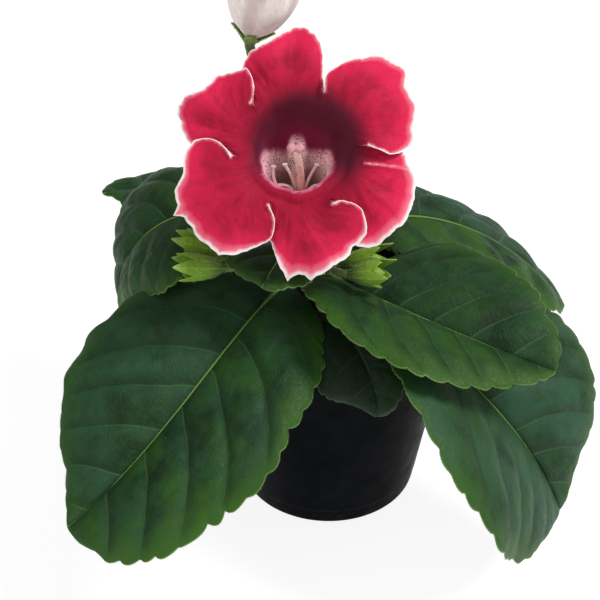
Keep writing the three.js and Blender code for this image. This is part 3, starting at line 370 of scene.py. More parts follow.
def welded(s):
    """The skin with points that coincide made one, and the faces that this closes taken out. The cells that
    points are sorted into are shifted, so that round numbers don't fall on their borders."""
    keys = np.floor(s["points"] / WELD_CELL + WELD_SHIFT).astype(np.int64)
    _, first, merged = np.unique(keys, axis=0, return_index=True, return_inverse=True)
    merged = merged.ravel()
    quads = merged[s["quads"]]
    same = quads == np.roll(quads, -1, axis=1)
    count = same.sum(1)
    once = quads[count == 1][~same[count == 1]].reshape(-1, 3)
    triangles = np.concatenate([merged[s["triangles"]], once])
    apart = (triangles != np.roll(triangles, 1, axis=1)).all(1)
    marks = {k: v[first] for k, v in s["marks"].items()}
    return skin(s["points"][first], quads[count == 0], marks, triangles[apart])


def point_normals(s):
    """Normals at a skin's points: the sum of the normals of the faces around each."""
    p, normals = s["points"], np.zeros_like(s["points"])
    q, t = s["quads"], s["triangles"]
    for faces, across in ((q, np.cross(p[q[:, 2]] - p[q[:, 0]], p[q[:, 3]] - p[q[:, 1]])),
                          (t, np.cross(p[t[:, 1]] - p[t[:, 0]], p[t[:, 2]] - p[t[:, 0]]))):
        for corner in range(faces.shape[1]):
            np.add.at(normals, faces[:, corner], across)
    return unit(normals)


def free_edges(s):
    """Directed edges that only one face has."""
    loops = [(s["quads"], 4), (s["triangles"], 3)]
    edges = np.concatenate([np.stack([f[:, k], f[:, (k + 1) % n]], -1) for f, n in loops for k in range(n)])
    count = len(s["points"])
    key, back = edges[:, 0] * count + edges[:, 1], edges[:, 1] * count + edges[:, 0]
    return edges[~np.isin(key, back)]


def thickened(s, above, below):
    """A closed sheet about a skin: each point moves out along its normal by above and in by below, and a
    rounded rim joins the two along the free edges. The mark `side` is 0 above, 1 below, 0.5 on the rim."""
    s = welded(s)
    p, n, count = s["points"], point_normals(s), len(s["points"])
    above = np.broadcast_to(above(s["marks"]) if callable(above) else above, count)
    below = np.broadcast_to(below(s["marks"]) if callable(below) else below, count)
    edges = free_edges(s)
    outward = np.zeros_like(p)
    away = unit(np.cross(p[edges[:, 1]] - p[edges[:, 0]], n[edges[:, 0]]))
    np.add.at(outward, edges[:, 0], away)
    np.add.at(outward, edges[:, 1], away)
    rim = np.unique(edges)
    place = np.zeros(count, int)
    place[rim] = np.arange(len(rim))
    middle = (n * ((above - below) / 2)[:, None])[rim] + p[rim]
    bulge = unit(outward[rim]) * ((above + below)[rim, None] * 0.4)
    a, b = edges.T
    am, bm = place[a] + 2 * count, place[b] + 2 * count
    walls = np.concatenate([np.stack([b, a, am, bm], -1), np.stack([bm, am, a + count, b + count], -1)])
    marks = {k: np.concatenate([v, v, v[rim]]) for k, v in s["marks"].items()}
    marks["side"] = np.concatenate([np.zeros(count), np.ones(count), np.full(len(rim), 0.5)])
    return skin(
        np.concatenate([p + n * above[:, None], p - n * below[:, None], middle + bulge]),
        np.concatenate([s["quads"], s["quads"][:, ::-1] + count, walls]),
        marks,
        np.concatenate([s["triangles"], s["triangles"][:, ::-1] + count]),
    )


def pinched(grid):
    """The grid with its first and its last row each drawn together to one point."""
    grid[0], grid[-1] = grid[0].mean(0), grid[-1].mean(0)
    return grid


def swept(at, side, third, radius, angle):
    """A rod with closed ends: about each place a ring of points, by angle from side towards third."""
    ring = at[:, None] + radius * (np.cos(angle) * side[:, None] + np.sin(angle) * third[:, None])
    first, last = (np.broadcast_to(pole, ring[:1].shape) for pole in (at[0], at[-1]))
    return np.concatenate([first, ring, last])


def rod(at, along, radius, sides, hint, marks=None):
    """A round rod whose rings lie square to its direction, with their first point towards hint."""
    side = unit(np.asarray(hint, float) - along * (along @ np.asarray(hint, float))[:, None])
    grid = swept(at, side, np.cross(along, side), radius[:, None, None], turns(sides)[None, :, None])
    return grid_skin(grid, marks)


def fuzz(s, count, length, seed, weight=None, lean=0.35, thick=0.045):
    """Hairs over a skin: thin spikes of three sides, set at random over its faces by their area times
    weight. Each stands along the face's normal, leaned by chance, and is up to a third shorter."""
    chance = np.random.default_rng(seed)
    corners = s["points"][s["quads"]]
    normal = np.cross(corners[:, 2] - corners[:, 0], corners[:, 3] - corners[:, 1])
    area = np.linalg.norm(normal, axis=1) * (1 if weight is None else weight)
    chosen = chance.choice(len(corners), count, p=area / area.sum())
    u, v = chance.random((2, count, 1))
    c = corners[chosen]
    base = (1 - u) * (1 - v) * c[:, 0] + u * (1 - v) * c[:, 1] + u * v * c[:, 2] + (1 - u) * v * c[:, 3]
    way = unit(unit(normal[chosen]) + lean * chance.normal(size=(count, 3)))
    long = length * (1 - 0.33 * chance.random((count, 1)))
    side = unit(np.cross(way, chance.normal(size=(count, 3))))
    third = np.cross(way, side)
    foot = base - 0.1 * way
    angles = np.arange(3) * TURN / 3
    ring = [foot + thick * (math.cos(t) * side + math.sin(t) * third) for t in angles]
    points = np.stack([*ring, base + long * way], 1).reshape(-1, 3)
    faces = np.array([[0, 2, 1], [0, 1, 3], [1, 2, 3], [2, 0, 3]])
    triangles = (4 * np.arange(count)[:, None, None] + faces).reshape(-1, 3)
    return skin(points, np.zeros((0, 4), int), {"hair": np.ones(len(points))}, triangles)


def placed(skins, place):
    """Skins joined to one and taken by place to the object's frame."""
    whole = joined(skins)
    whole["points"] = place(whole["points"])
    return whole


def piece(name, s, material, replaced=()):
    """An object from a skin, at the origin, riding on the one body and standing for CAD nodes."""
    s = welded(s)
    mesh = bpy.data.meshes.new("fine_" + name)
    mesh.vertices.add(len(s["points"]))
    mesh.vertices.foreach_set("co", (s["points"] * MM).astype(np.float32).ravel())
    corners = np.concatenate([s["quads"].ravel(), s["triangles"].ravel()])
    mesh.loops.add(len(corners))
    mesh.loops.foreach_set("vertex_index", corners.astype(np.int32))
    sizes = np.concatenate([np.full(len(s["quads"]), 4), np.full(len(s["triangles"]), 3)])
    mesh.polygons.add(len(sizes))
    mesh.polygons.foreach_set("loop_start", (np.cumsum(sizes) - sizes).astype(np.int32))
    mesh.polygons.foreach_set("use_smooth", np.ones(len(sizes), bool))
    for key, value in s["marks"].items():
        vector = value.ndim == 2
        made = mesh.attributes.new(key, "FLOAT_VECTOR" if vector else "FLOAT", "POINT")
        made.data.foreach_set("vector" if vector else "value", value.astype(np.float32).ravel())
    mesh.update(calc_edges=True)
    mesh.validate()
    mesh.materials.append(material)
    made = bpy.data.objects.new("fine_" + name, mesh)
    bpy.context.scene.collection.objects.link(made)
    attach(made, "root")
    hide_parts(*(replaced or (name,)))
    return made


# Node trees

class Wiring:
    """Adds nodes to a tree. An input is a plain value, a colour or a socket to link."""

    def __init__(self, tree):
        self.tree = tree

    def add(self, kind, inputs=None, out=0, **settings):
        made = self.tree.nodes.new("ShaderNode" + kind)
        for key, value in settings.items():
            setattr(made, key, value)
        for key, value in (inputs or {}).items():
            if isinstance(value, bpy.types.NodeSocket):
                self.tree.links.new(value, made.inputs[key])
            elif made.inputs[key].type == "RGBA":
                made.inputs[key].default_value = (*value[:3], 1)
            else:
                made.inputs[key].default_value = value
        return made.outputs[out]

    def mark(self, name, vector=False):
        return self.add("Attribute", attribute_name=name, out=1 if vector else 2)

    def parts(self, vector):
        split = self.add("SeparateXYZ", {0: vector}).node
        return split.outputs[0], split.outputs[1], split.outputs[2]

    def step(self, value, low, high, start=0.0, end=1.0):
        """A soft step of value from start at low to end at high."""
        return self.add("MapRange", {0: value, 1: low, 2: high, 3: start, 4: end},
                        interpolation_type="SMOOTHSTEP")

    def sums(self, operation, *values):
        return self.add("Math", dict(enumerate(values)), operation=operation)

    def times(self, *values):
        total = values[0]
        for value in values[1:]:
            total = self.sums("MULTIPLY", total, value)
        return total

    def rest(self, share):
        """What a share leaves of 1."""
        return self.sums("SUBTRACT", 1.0, share)

    def paint(self, base, *layers):
        """Colours laid over a base in turn, each by its share."""
        for share, above in layers:
            base = self.add("Mix", {0: share, 6: base, 7: above}, out=2, data_type="RGBA")
        return base

    def noise(self, vector, scale, detail=3.0, rough=0.5, distortion=0.0):
        return self.add("TexNoise", {"Vector": vector, "Scale": scale, "Detail": detail, "Roughness": rough,
                                     "Distortion": distortion})

    def stretched(self, vector, x, y, z):
        return self.add("VectorMath", {0: vector, 1: (x, y, z)}, operation="MULTIPLY")

    def place_mm(self):
        """Object coordinates in millimetres."""
        return self.stretched(self.add("TexCoord", out=3), 1 / MM, 1 / MM, 1 / MM)

    def mottle(self, vector, scale, low, high):
        return self.add("Group", {"Vector": vector, "Scale": scale, "Low": low, "High": high},
                        node_tree=soft_mottle())

    def net(self, vector, scale, width):
        return self.add("Group", {"Vector": vector, "Scale": scale, "Width": width}, node_tree=vein_net())

    def nap(self, vector, scale):
        return self.add("Group", {"Vector": vector, "Scale": scale}, node_tree=fine_nap())

    def surface(self, base, rough, relief, strength, distance):
        """A shader's colour, roughness and normal, the last from a relief as deep as the distance."""
        bump = self.add("Bump", {"Height": relief, "Strength": strength, "Distance": distance * MM})
        return {"Base Color": base, "Roughness": rough, "Normal": bump}


def shared(name, inputs, outputs, fill):
    """A node group, made once, whose inputs and outputs are given by name and kind. fill(wiring, sockets)
    returns the sockets that it puts out."""
    if name in bpy.data.node_groups:
        return bpy.data.node_groups[name]
    tree = bpy.data.node_groups.new(name, "ShaderNodeTree")
    for way, sockets in (("INPUT", inputs), ("OUTPUT", outputs)):
        for key, kind in sockets.items():
            tree.interface.new_socket(key, in_out=way, socket_type=kind)
    start, end = tree.nodes.new("NodeGroupInput"), tree.nodes.new("NodeGroupOutput")
    for socket, place in zip(fill(Wiring(tree), start.outputs), end.inputs):
        tree.links.new(socket, place)
    return tree


VALUE, VECTOR, COLOUR = "NodeSocketFloat", "NodeSocketVector", "NodeSocketColor"


def vein_net():
    """A net of fine lines: 1 on the borders between the cells of a Voronoi pattern whose places are shifted
    a little by noise, fading to 0 over the given width."""
    def fill(w, s):
        shift = w.add("TexNoise", {"Vector": s["Vector"], "Scale": 0.35, "Detail": 2.0}, out=1)
        moved = w.add("VectorMath", {0: shift, 1: (1.6, 1.6, 1.6), 2: s["Vector"]},
                      operation="MULTIPLY_ADD")
        edge = w.add("TexVoronoi", {"Vector": moved, "Scale": s["Scale"]}, feature="DISTANCE_TO_EDGE")
        return [w.step(edge, 0.0, s["Width"], 1.0, 0.0)]
    return shared("Vein net", {"Vector": VECTOR, "Scale": VALUE, "Width": VALUE}, {"Line": VALUE}, fill)


def soft_mottle():
    """Two colours mixed by cloudy noise at one scale and half as much at three times that scale."""
    def fill(w, s):
        broad = w.noise(s["Vector"], s["Scale"], 2.0)
        fine = w.noise(s["Vector"], w.times(s["Scale"], 3.3), 2.0)
        both = w.sums("MULTIPLY_ADD", fine, 0.5, w.sums("MULTIPLY_ADD", broad, 1.0, -0.25))
        return [w.paint(s["Low"], (w.step(both, 0.3, 0.7), s["High"]))]
    return shared("Soft mottle", {"Vector": VECTOR, "Scale": VALUE, "Low": COLOUR, "High": COLOUR},
                  {"Color": COLOUR}, fill)


def fine_nap():
    """Relief of a downy surface: fine noise on top of a coarser pebbling, as a height from 0 to 1."""
    def fill(w, s):
        fine = w.noise(s["Vector"], s["Scale"], 3.0, 0.6)
        pebble = w.add("TexVoronoi", {"Vector": s["Vector"], "Scale": w.times(s["Scale"], 0.45)})
        return [w.sums("MULTIPLY_ADD", pebble, 0.5, w.times(fine, 0.6))]
    return shared("Fine nap", {"Vector": VECTOR, "Scale": VALUE}, {"Height": VALUE}, fill)


def material(name, draw, **constants):
    """A material whose draw(wiring) returns what goes into the shader's linked sockets. Constants go on the
    shader's own sockets."""
    made = bpy.data.materials.new(name)
    made.use_nodes = True
    made.node_tree.nodes.clear()
    w = Wiring(made.node_tree)
    constants = {key.replace("_", " "): value for key, value in constants.items()}
    shader = w.add("BsdfPrincipled", {**constants, **draw(w)})
    end = made.node_tree.nodes.new("ShaderNodeOutputMaterial")
    made.node_tree.links.new(shader, end.inputs["Surface"])
    return made


def thin(name, description, default, low, high):
    """A small length that the user can change."""
    return FloatProperty(name=name, description=description, default=default, min=low, max=high,
                         precision=5, unit="LENGTH")


def tint(name, description, *default):
    """A colour that the user can change."""
    return FloatVectorProperty(name=name, description=description, size=3, subtype="COLOR", default=default)


# Leaves

def leaf_frame(leaf, u):
    """Place on the midrib, and the directions to the leaf's right and out of its upper face there: the
    level direction across the leaf's heading, set square to the midrib and turned about it by the roll."""
    at, along = cubic(leaf["spine"], u)
    heading = np.subtract(leaf["spine"][3], leaf["spine"][0]) * [1, 1, 0]
    level = unit(np.cross(heading, UP))
    side = unit(level - along * (along @ level)[..., None])
    up = np.cross(side, along)
    roll = np.radians(mix(leaf["roll"][0], leaf["roll"][1], u))[..., None]
    return at, side * np.cos(roll) + up * np.sin(roll), up * np.cos(roll) - side * np.sin(roll)


def by_half(pair, right):
    """The first of a pair on a leaf's left half, the second on its right half."""
    return np.where(right, pair[1], pair[0])


def leaf_size(leaf):
    """Size as a share of that of a full-grown leaf."""
    return min(1, leaf["half"][0] / FULL_HALF)


def leaf_outline(leaf, q, right):
    """At q from heel to tip: the place along the midrib, that of the margin on the same row, which leans
    forward, and the half width as a share, which is a power of a sine of the margin's place."""
    t = (q + (1 - np.cos(np.pi * q)) / 2) / 2
    reach = t + 4 * leaf["lean"] * t * (1 - t)
    inside = np.clip(reach, 1e-9, 1 - 1e-9)
    power = mix(leaf["heel"], by_half(leaf["apex"], right), reach)
    return t, reach, np.sin(np.pi * inside ** leaf["widest"]) ** power


def margin_line(leaf, length, right):
    """One half's margin laid flat: q at places close together, the distance run to each, and the direction
    from the margin square into the blade, as its parts along and across the midrib."""
    q = (1 - np.cos(np.linspace(0, np.pi, MARGIN_PLACES))) / 2
    _, reach, share = leaf_outline(leaf, q, right)
    line = np.stack([reach * length, leaf["half"][int(right)] * share], -1)
    steps = np.diff(line, axis=0)
    way = unit(np.concatenate([steps[:1], steps]))
    return q, distance_run(line), np.stack([way[:, 1], -way[:, 0]], -1)


def leaf_teeth(leaf, margins, row, right):
    """How far waves and teeth bite into the margin at each row, the direction square into the blade there,
    and the height of the tooth from 0 to 1. The teeth are rounded, and evenly spaced along the margin."""
    wave = leaf["phase"] * 7
    halves = []
    for k, (places, run, square) in enumerate(margins):
        arc = np.interp(row, places, run)
        spacing = 2.6 + 0.12 * leaf["half"][k]
        tooth = (arc / spacing + 0.4 * noise(arc / 13 + wave, 7 * k, 1)) % 1
        rounded = np.sin(np.pi * np.clip(tooth, 1e-6, 1) ** 1.35) ** 0.6
        deep = 0.2 * spacing * (1 + 0.5 * noise(arc / 9, wave + 5 * k, 2)) * leaf.get("teeth", [1, 1])[k]
        ends = smooth(0, 9, arc) * smooth(0, 12, run[-1] - arc)
        bite = (deep * (1 - rounded) + leaf_size(leaf) * 1.3 * noise(arc / 11 + wave, 11 * k, 3)) * ends
        inward = [np.interp(row, places, square[:, j]) for j in (0, 1)]
        halves.append([v[:, None] for v in (bite, *inward, rounded)])
    return [by_half(pair, right) for pair in zip(*halves)]


def steepness(grid, value):
    """How much a value changes over a surface with each millimetre, by its steps from row to row and from
    column to column."""
    forward, outward = np.gradient(grid, axis=0), np.gradient(grid, axis=1)
    by_row, by_column = np.gradient(value, axis=0), np.gradient(value, axis=1)
    along, both, across = (forward**2).sum(-1), (forward * outward).sum(-1), (outward**2).sum(-1)
    steep = across * by_row**2 - 2 * both * by_row * by_column + along * by_column**2
    return np.sqrt(np.maximum(steep, 0) / np.maximum(along * across - both**2, 1e-9))


def blade(leaf, thickness):
    """The blade. q runs from heel to tip, in rows evenly spaced along the margin, and s from the left
    margin at -1 over the midrib to the right margin. Across the midrib each half is an arc from its inner
    to its outer slope, as wide as the outline. The tissue is puffed up between the side veins, as a power
    of a sine of the vein count, with ladder wrinkles and noise between them, and rippled near the margin,
    which is moved square to itself by its waves and teeth. The vein count at a point is that of the place
    on the midrib that its vein left from, which lies behind it by a distance that grows faster than its
    distance out."""
    veins, size, wave = leaf["veins"], leaf_size(leaf), leaf["phase"] * 7
    length = distance_run(cubic(leaf["spine"], np.linspace(leaf["foot"], 1, 60))[0])[-1]
    margins = [margin_line(leaf, length, right) for right in (False, True)]
    along_both = margins[0][1] / margins[0][1][-1] + margins[1][1] / margins[1][1][-1]
    row = np.interp(np.linspace(0, 2, ROWS_PER_VEIN * veins + 1), along_both, margins[0][0])
    x = np.linspace(0, 1, 18 + int(10 * size))
    steps = np.insert(x + 0.05 * np.sin(TURN * x), 1, 0.012)
    s = np.concatenate([-steps[:0:-1], steps])[None, :]
    q, s = np.broadcast_arrays(row[:, None], s)
    a, right = np.abs(s), s > 0
    t, reach, outline = leaf_outline(leaf, q, right)
    half = by_half(leaf["half"], right)
    bite, back, inward, rounded = leaf_teeth(leaf, margins, row, right)
    width = half * outline + bite * a**7 * inward
    place = t + (reach - t) * a**1.3 + bite * a**8 * back / length
    inner = np.radians(by_half([leaf["left"][0], leaf["right"][0]], right))
    bend = np.radians(by_half([leaf["left"][1], leaf["right"][1]], right)) - inner
    slope = inner + bend * a
    across = width * (np.sin(slope) - np.sin(inner)) / bend
    y_mm, x_mm = a * width, place * length
    behind = (0.62 * y_mm + 0.5 * y_mm**2 / half) / length * (1 - np.exp(-2.4 * place))
    pairs = veins * (place - behind) + 0.12 * noise(x_mm / 22 + wave, y_mm / 16, 0)
    order = pairs + np.where(right, 0.45, 0)
    quilt = np.abs(np.sin(np.pi * order)) ** 0.75
    panel = np.floor(order)
    rung = y_mm / 6.5 + 0.6 * noise(x_mm / 9, y_mm / 9 + wave, 5)
    rung = rung + 3 * noise(3.7 * panel + wave, 0.5 * panel, 6)
    ladder = np.abs(np.sin(np.pi * rung)) ** 0.6 * quilt
    relief = 0.6 * ladder + 0.45 * noise(x_mm / 8 + wave, y_mm / 6 + 9.0 * right, 3)
    relief = relief + 0.14 * noise(x_mm / 2.6 + wave, y_mm / 2.6 + 20.0 * right, 4)
    fade = smooth(0, 0.1, a) * (1 - 0.6 * a**4)
    puff = size * (PUFF * quilt * (1 - a**4) * a**0.55 * fade + relief * fade)
    ripple = leaf["wave"] * a**3 * np.sin(6 * np.pi * q + leaf["phase"] + 2 * right)
    curl = 0.8 * size * a**6 * (rounded - 0.5)
    ends = np.sqrt(np.sin(np.pi * np.clip(t, 0, 1)))
    lift = width * (np.cos(inner) - np.cos(slope)) / bend + (puff + ripple - curl) * ends
    at, side, out = leaf_frame(leaf, mix(leaf["foot"], 1, place))
    grid = pinched(at + side * (np.sign(s) * across)[..., None] + out * lift[..., None])
    sky, lime = by_half(leaf["sky"], right), by_half(leaf["lime"], right)
    marks = {
        "bands": np.stack([width * (1 - a), y_mm, order], -1),
        "place": np.stack([x_mm, y_mm * np.where(right, 1, -1) + 200 * leaf["phase"], 10 * place], -1),
        "tone": np.stack([sky, lime, np.full(q.shape, leaf.get("dim", 0.0))], -1),
        "pace": np.clip(1 / np.maximum(steepness(grid, pairs), 1e-3), 4, 40),
    }

    def above(m):
        return thickness / 2 * (0.6 + 0.4 * smooth(0, 3, m["bands"][:, 0]))

    def below(m):
        edge, rib, count = m["bands"].T
        line = np.where(count < 0.5, 9, np.abs(count - np.round(count)) * m["pace"])
        keel = size * KEEL * (1 - m["place"][:, 2] / 10) * np.exp(-((rib / 1.7) ** 2))
        ribs = 0.4 * size * np.exp(-((line / 0.7) ** 2)) * smooth(0, 12, edge)
        return above(m) + keel + ribs

    return thickened(grid_skin(grid, marks, closed=False), above, below)


def petiole(leaf):
    """The leaf's stalk, a rod along the spine from the stem to a little way under the blade, whose radius
    falls with the square of the place along it, with a groove along its upper side."""
    end = mix(leaf["foot"], 1, 0.16)
    u = np.linspace(0, end, PETIOLE_ROWS)
    at, side, _ = leaf_frame(leaf, u)
    _, along = cubic(leaf["spine"], u)
    radius = PETIOLE_RADIUS * mix(0.55, 1, leaf_size(leaf)) * mix(1, 0.35, (u / end) ** 2)
    radius = radius * (1 + 0.04 * noise(u * 40, leaf["phase"] * 9, 5))
    angle = turns(PETIOLE_SIDES)[None, :, None]
    groove = 1 - 0.16 * np.exp(-(((angle - 1.5 * np.pi) / 0.5) ** 2))
    grid = swept(at, side, np.cross(along, side), radius[:, None, None] * groove, angle)
    return grid_skin(grid, {"stalk": 1.0, "side": 0.0})


def leaf_material(settings):
    """Dark green tissue: mottled, with a bluish painted sky reflection, and yellow-green patches and margin
    where painted light shines through. Beside each side vein the tissue has painted shade towards the heel
    and a painted highlight towards the tip, and the vein is a pale line. Painted shade also darkens it
    beside the midrib, towards the heel and over a shaded leaf. Midrib and a fine net of veins are paler too,
    and a painted rim light runs along the margin. The underside is pale and its ribs paler."""
    def draw(w):
        edge, rib, order = w.parts(w.mark("bands", vector=True))
        place = w.mark("place", vector=True)
        sky, lime, dim = w.parts(w.mark("tone", vector=True))
        side, hair, stalk, pace = (w.mark(k) for k in ("side", "hair", "stalk", "pace"))
        _, _, along = w.parts(place)
        broad = w.noise(place, 0.05, 2.0)
        # Painted light shining through the tissue: yellow-green patches, and towards the margin, more on a
        # lit half
        warm = w.step(w.noise(place, 0.06, 2.0, 0.5, 0.4), 0.35, 0.62)
        reach = w.sums("MULTIPLY_ADD", w.noise(place, 0.09, 2.0), 16.0, edge)
        margin = w.times(w.step(reach, 6.0, 21.0, 0.85, 0.0), w.sums("MULTIPLY_ADD", lime, 0.7, 0.45))
        beyond = w.times(w.sums("SUBTRACT", order, w.sums("ROUND", order)), pace)
        real = w.times(w.step(order, 0.42, 0.55), w.step(edge, 0.6, 7.0))
        # How strongly each side vein shows, varied by noise; it scales the painted crease shade and light
        varied = w.times(real, w.step(w.noise(place, 0.12, 2.0), 0.3, 0.6, 0.45, 1.0))
        # Painted shade on the heel side of each side vein, painted highlight on its tip side
        crease_shade = w.times(w.step(beyond, -7.0, -0.8), w.step(beyond, -0.3, 0.5, 1.0, 0.0), varied)
        crease_light = w.times(w.step(beyond, 0.0, 1.2), w.step(beyond, 1.6, 6.0, 1.0, 0.0), varied)
        net = w.net(place, 0.42, 0.08)
        width = w.step(rib, 0.0, 40.0, 0.5, 0.28)
        line = w.times(w.rest(w.step(w.sums("DIVIDE", w.sums("ABSOLUTE", beyond), width), 0.4, 1.4)), real)
        from_rib = w.sums("DIVIDE", rib, w.step(along, 0.0, 10.0, 1.05, 0.4))
        # The midrib fades under the painted shade too
        midrib = w.times(w.rest(w.step(from_rib, 0.45, 1.05)), w.step(dim, 0.0, 1.0, 0.95, 0.2))
        # Painted rim light: a thin pale line along the margin, where the hairs catch the light
        rim = w.times(w.step(edge, 0.1, 0.42, 0.75, 0.0), w.step(broad, 0.3, 0.7, 0.6, 1.0))
        upper = w.paint(
            w.mottle(place, 0.09, settings.dark, settings.light),
            # painted sky reflection: a bluish sheen over each half's sky share
            (w.times(w.step(broad, 0.3, 0.62), sky), settings.sheen),
            # painted light shining through the tissue, in patches
            (w.times(warm, lime), settings.lime),
            # painted light shining through the tissue towards the margin
            (margin, settings.margin),
            # painted shade, then a painted highlight, on the two sides of each side vein
            (w.times(crease_shade, 0.62), settings.dark),
            (w.times(crease_light, 0.34), settings.sheen),
            (w.times(net, 0.1), settings.veins),
            (w.times(line, w.step(rib, 0.0, 34.0, 0.55, 0.16)), settings.veins),
            # painted shade in the groove beside the midrib
            (w.step(from_rib, 1.0, 4.0, 0.5, 0.0), settings.dark),
            (midrib, settings.midrib),
            (rim, settings.rim),
            # painted shade towards the heel, near the centre of the plant
            (w.step(along, 0.3, 2.6, 0.8, 0.0), settings.dark),
            # painted shade over a leaf that lies in the shade of others
            (dim, LEAF_SHADE))
        ribs = w.sums("MAXIMUM", line, w.rest(w.step(rib, 1.0, 2.6)))
        under = w.paint(settings.underside, (w.times(net, 0.5), UNDER_NET),
                        (w.times(ribs, 0.85), UNDER_RIBS))
        green = w.mottle(w.place_mm(), 0.5, PETIOLE_DARK, PETIOLE_LIGHT)
        final = w.paint(upper, (w.step(side, 0.3, 0.7), under), (stalk, green), (hair, LEAF_HAIR))
        nap = w.nap(place, 1.6)
        rough = w.step(nap, 0.2, 0.8, 0.44, 0.6)
        return w.surface(final, rough, w.sums("MULTIPLY_ADD", net, -0.8, nap), 0.35, 0.4)
    return material("Leaf", draw, Sheen_Weight=0.03, Sheen_Roughness=0.45, Sheen_Tint=(0.8, 1, 0.85, 1),
                    Specular_IOR_Level=0.2)


class GloxiniaLeafSettings(PropertyGroup):
    thickness: thin("Blade thickness", "Thickness of the leaf blades away from the rim",
                    0.0008, 0.0002, 0.003)
    hair_length: thin("Hair length", "Longest hairs on the leaves", 0.0011, 0, 0.004)
    hairs: IntProperty(name="Hairs", description="Hairs on one leaf", default=3000, min=0, max=20000)
    # Also the colour of the painted shade beside the veins and the midrib and towards the heel
    dark: tint("Dark green", "Darkest tissue", 0.0038, 0.02, 0.0042)
    light: tint("Green", "Lightest tissue", 0.010, 0.05, 0.008)
    # Painted sky reflection on the tissue; also the painted highlight beside the side veins
    sheen: tint("Blue-green", "Tissue that shows the sky", 0.022, 0.075, 0.04)
    # Painted light shining through the tissue, in patches
    lime: tint("Yellow-green", "Warm patches of the tissue", 0.03, 0.095, 0.006)
    # Painted light shining through the tissue towards the margin
    margin: tint("Margin", "Tissue towards the margin", 0.04, 0.12, 0.007)
    veins: tint("Veins", "Side veins on the upper face", 0.052, 0.13, 0.04)
    midrib: tint("Midrib", "Midrib on the upper face", 0.155, 0.28, 0.05)
    # Painted rim light along the margin
    rim: tint("Rim", "Thin line along the margin", 0.17, 0.29, 0.07)
    underside: tint("Underside", "Tissue of the lower face", 0.09, 0.19, 0.06)


class GLOXINIA_OT_leaves(Operator):
    """Grow the rosette of leaves, each blade in one piece with its petiole"""
    bl_idname = "gloxinia.leaves"
    bl_label = "Leaves"

    def execute(self, context):
        settings = context.scene.gloxinia_leaf
        finish = leaf_material(settings)
        for seed, leaf in enumerate(LEAVES):
            grown, stalk = blade(leaf, settings.thickness / MM), petiole(leaf)
            length, few = settings.hair_length / MM, int(settings.hairs * leaf_size(leaf) ** 2)
            sides = grown["marks"]["side"][grown["quads"]]
            at_rim = (sides.max(1) == 0.5) | (np.ptp(sides, axis=1) > 0.2)
            weight = 0.02 + 4.0 * at_rim
            hairs = [fuzz(grown, few, 0.7 * length, seed, weight=weight, lean=0.5, thick=0.035),
                     fuzz(grown, few // 3, 0.6 * length, seed + 50, lean=0.6, thick=0.03),
                     fuzz(stalk, PETIOLE_HAIRS, 1.2 * length, seed + 100)]
            piece(leaf["name"], joined([grown, stalk, *hairs]), finish)
        return {"FINISHED"}


# The open flower

def lobe_margin(shape, next_notch, count):
    """The margin from notch to notch as evenly spaced points in the mouth's plane: a smooth curve through
    the named points by the distance along it, frayed a little by noise and raised at the nubs."""
    table = np.array([*shape["margin"], next_notch], float)
    angle, radius = np.radians(table[:, 0]), table[:, 1]
    corner = polar(radius, angle)
    run = distance_run(corner)
    fine = through(np.column_stack([run, corner]), np.linspace(0, run[-1], 800))
    length = distance_run(fine)
    places = np.linspace(0, length[-1], count)
    even = np.stack([np.interp(places, length, fine[:, k]) for k in (0, 1)], -1)
    wave = shape["wave"]
    fray = 0.75 * noise(places / 3.0, wave * 9, 5) + 0.35 * noise(places / 1.2, wave * 5, 6)
    fray = fray * smooth(0, 6, places) * smooth(0, 6, length[-1] - places)
    for angle, tall, wide in shape.get("nubs", []):
        turn = np.arctan2(even[:, 1], even[:, 0]) - np.radians(angle)
        nearest = np.argmin(np.abs(np.angle(np.exp(1j * turn))))
        off = np.linalg.norm(even - even[nearest], axis=1)
        fray = fray + tall * np.clip(1 - off / wide, 0, 1) ** 0.8
    return even * (1 + fray / np.linalg.norm(even, axis=1))[:, None]


def crease_distance(grid, ends):
    """Distance across the mouth's plane from a straight fold between two places, as angle and radius."""
    start, end = (polar(radius, np.radians(angle)) for angle, radius in ends)
    run = end - start
    along = np.clip((grid[..., :2] - start) @ run / (run @ run), 0, 1)
    return np.linalg.norm(grid[..., :2] - start - along[..., None] * run, axis=-1)


def pale_band(grid):
    """Width of the pale margin: thin near the notches, and wider on the lower lobes than on the upper."""
    out, around = np.hypot(grid[..., 0], grid[..., 1]), np.arctan2(grid[..., 1], grid[..., 0])
    return mix(0.75, 2.4 - 1.3 * np.sin(around - 0.25), smooth(36, 46, out))


def funnel(around):
    """The tube: rings about the bent centre line, whose radius follows a table times cosines of six and
    twelve times the angle that grow towards the mouth, and the flat rings of the lip. Gives the grid, its
    angles, its depths, and no distance to a margin."""
    u = np.linspace(0, 1, TUBE_ROWS) ** 0.9
    wrinkle = 1 + 0.012 * np.cos(12 * around)[None, :] * smooth(0.3, 0.9, u)[:, None]
    flute = wrinkle + 0.02 * np.cos(6 * (around - np.radians(100)))[None, :] * smooth(0.5, 1, u)[:, None]
    u_all, around_all = np.broadcast_arrays(u[:, None], around[None, :])
    tube = around_line(tube_line, u_all, around_all, through(TUBE_RADII, u)[:, None] * flute)
    lips = []
    for radius, height in LIP:
        fluted = radius * mix(flute[-1], 1, 0.5 if radius < LIP_RADIUS else 1)
        lips.append(polar(fluted, around, np.full(around.shape, height)))
    pole = np.broadcast_to(tube[0].mean(0), (1, len(around), 3))
    depth = np.concatenate([[0], u, [1.02, 1.04, LIP_DEPTH]])[:, None]
    return np.concatenate([pole, tube, np.stack(lips)]), around, depth, None


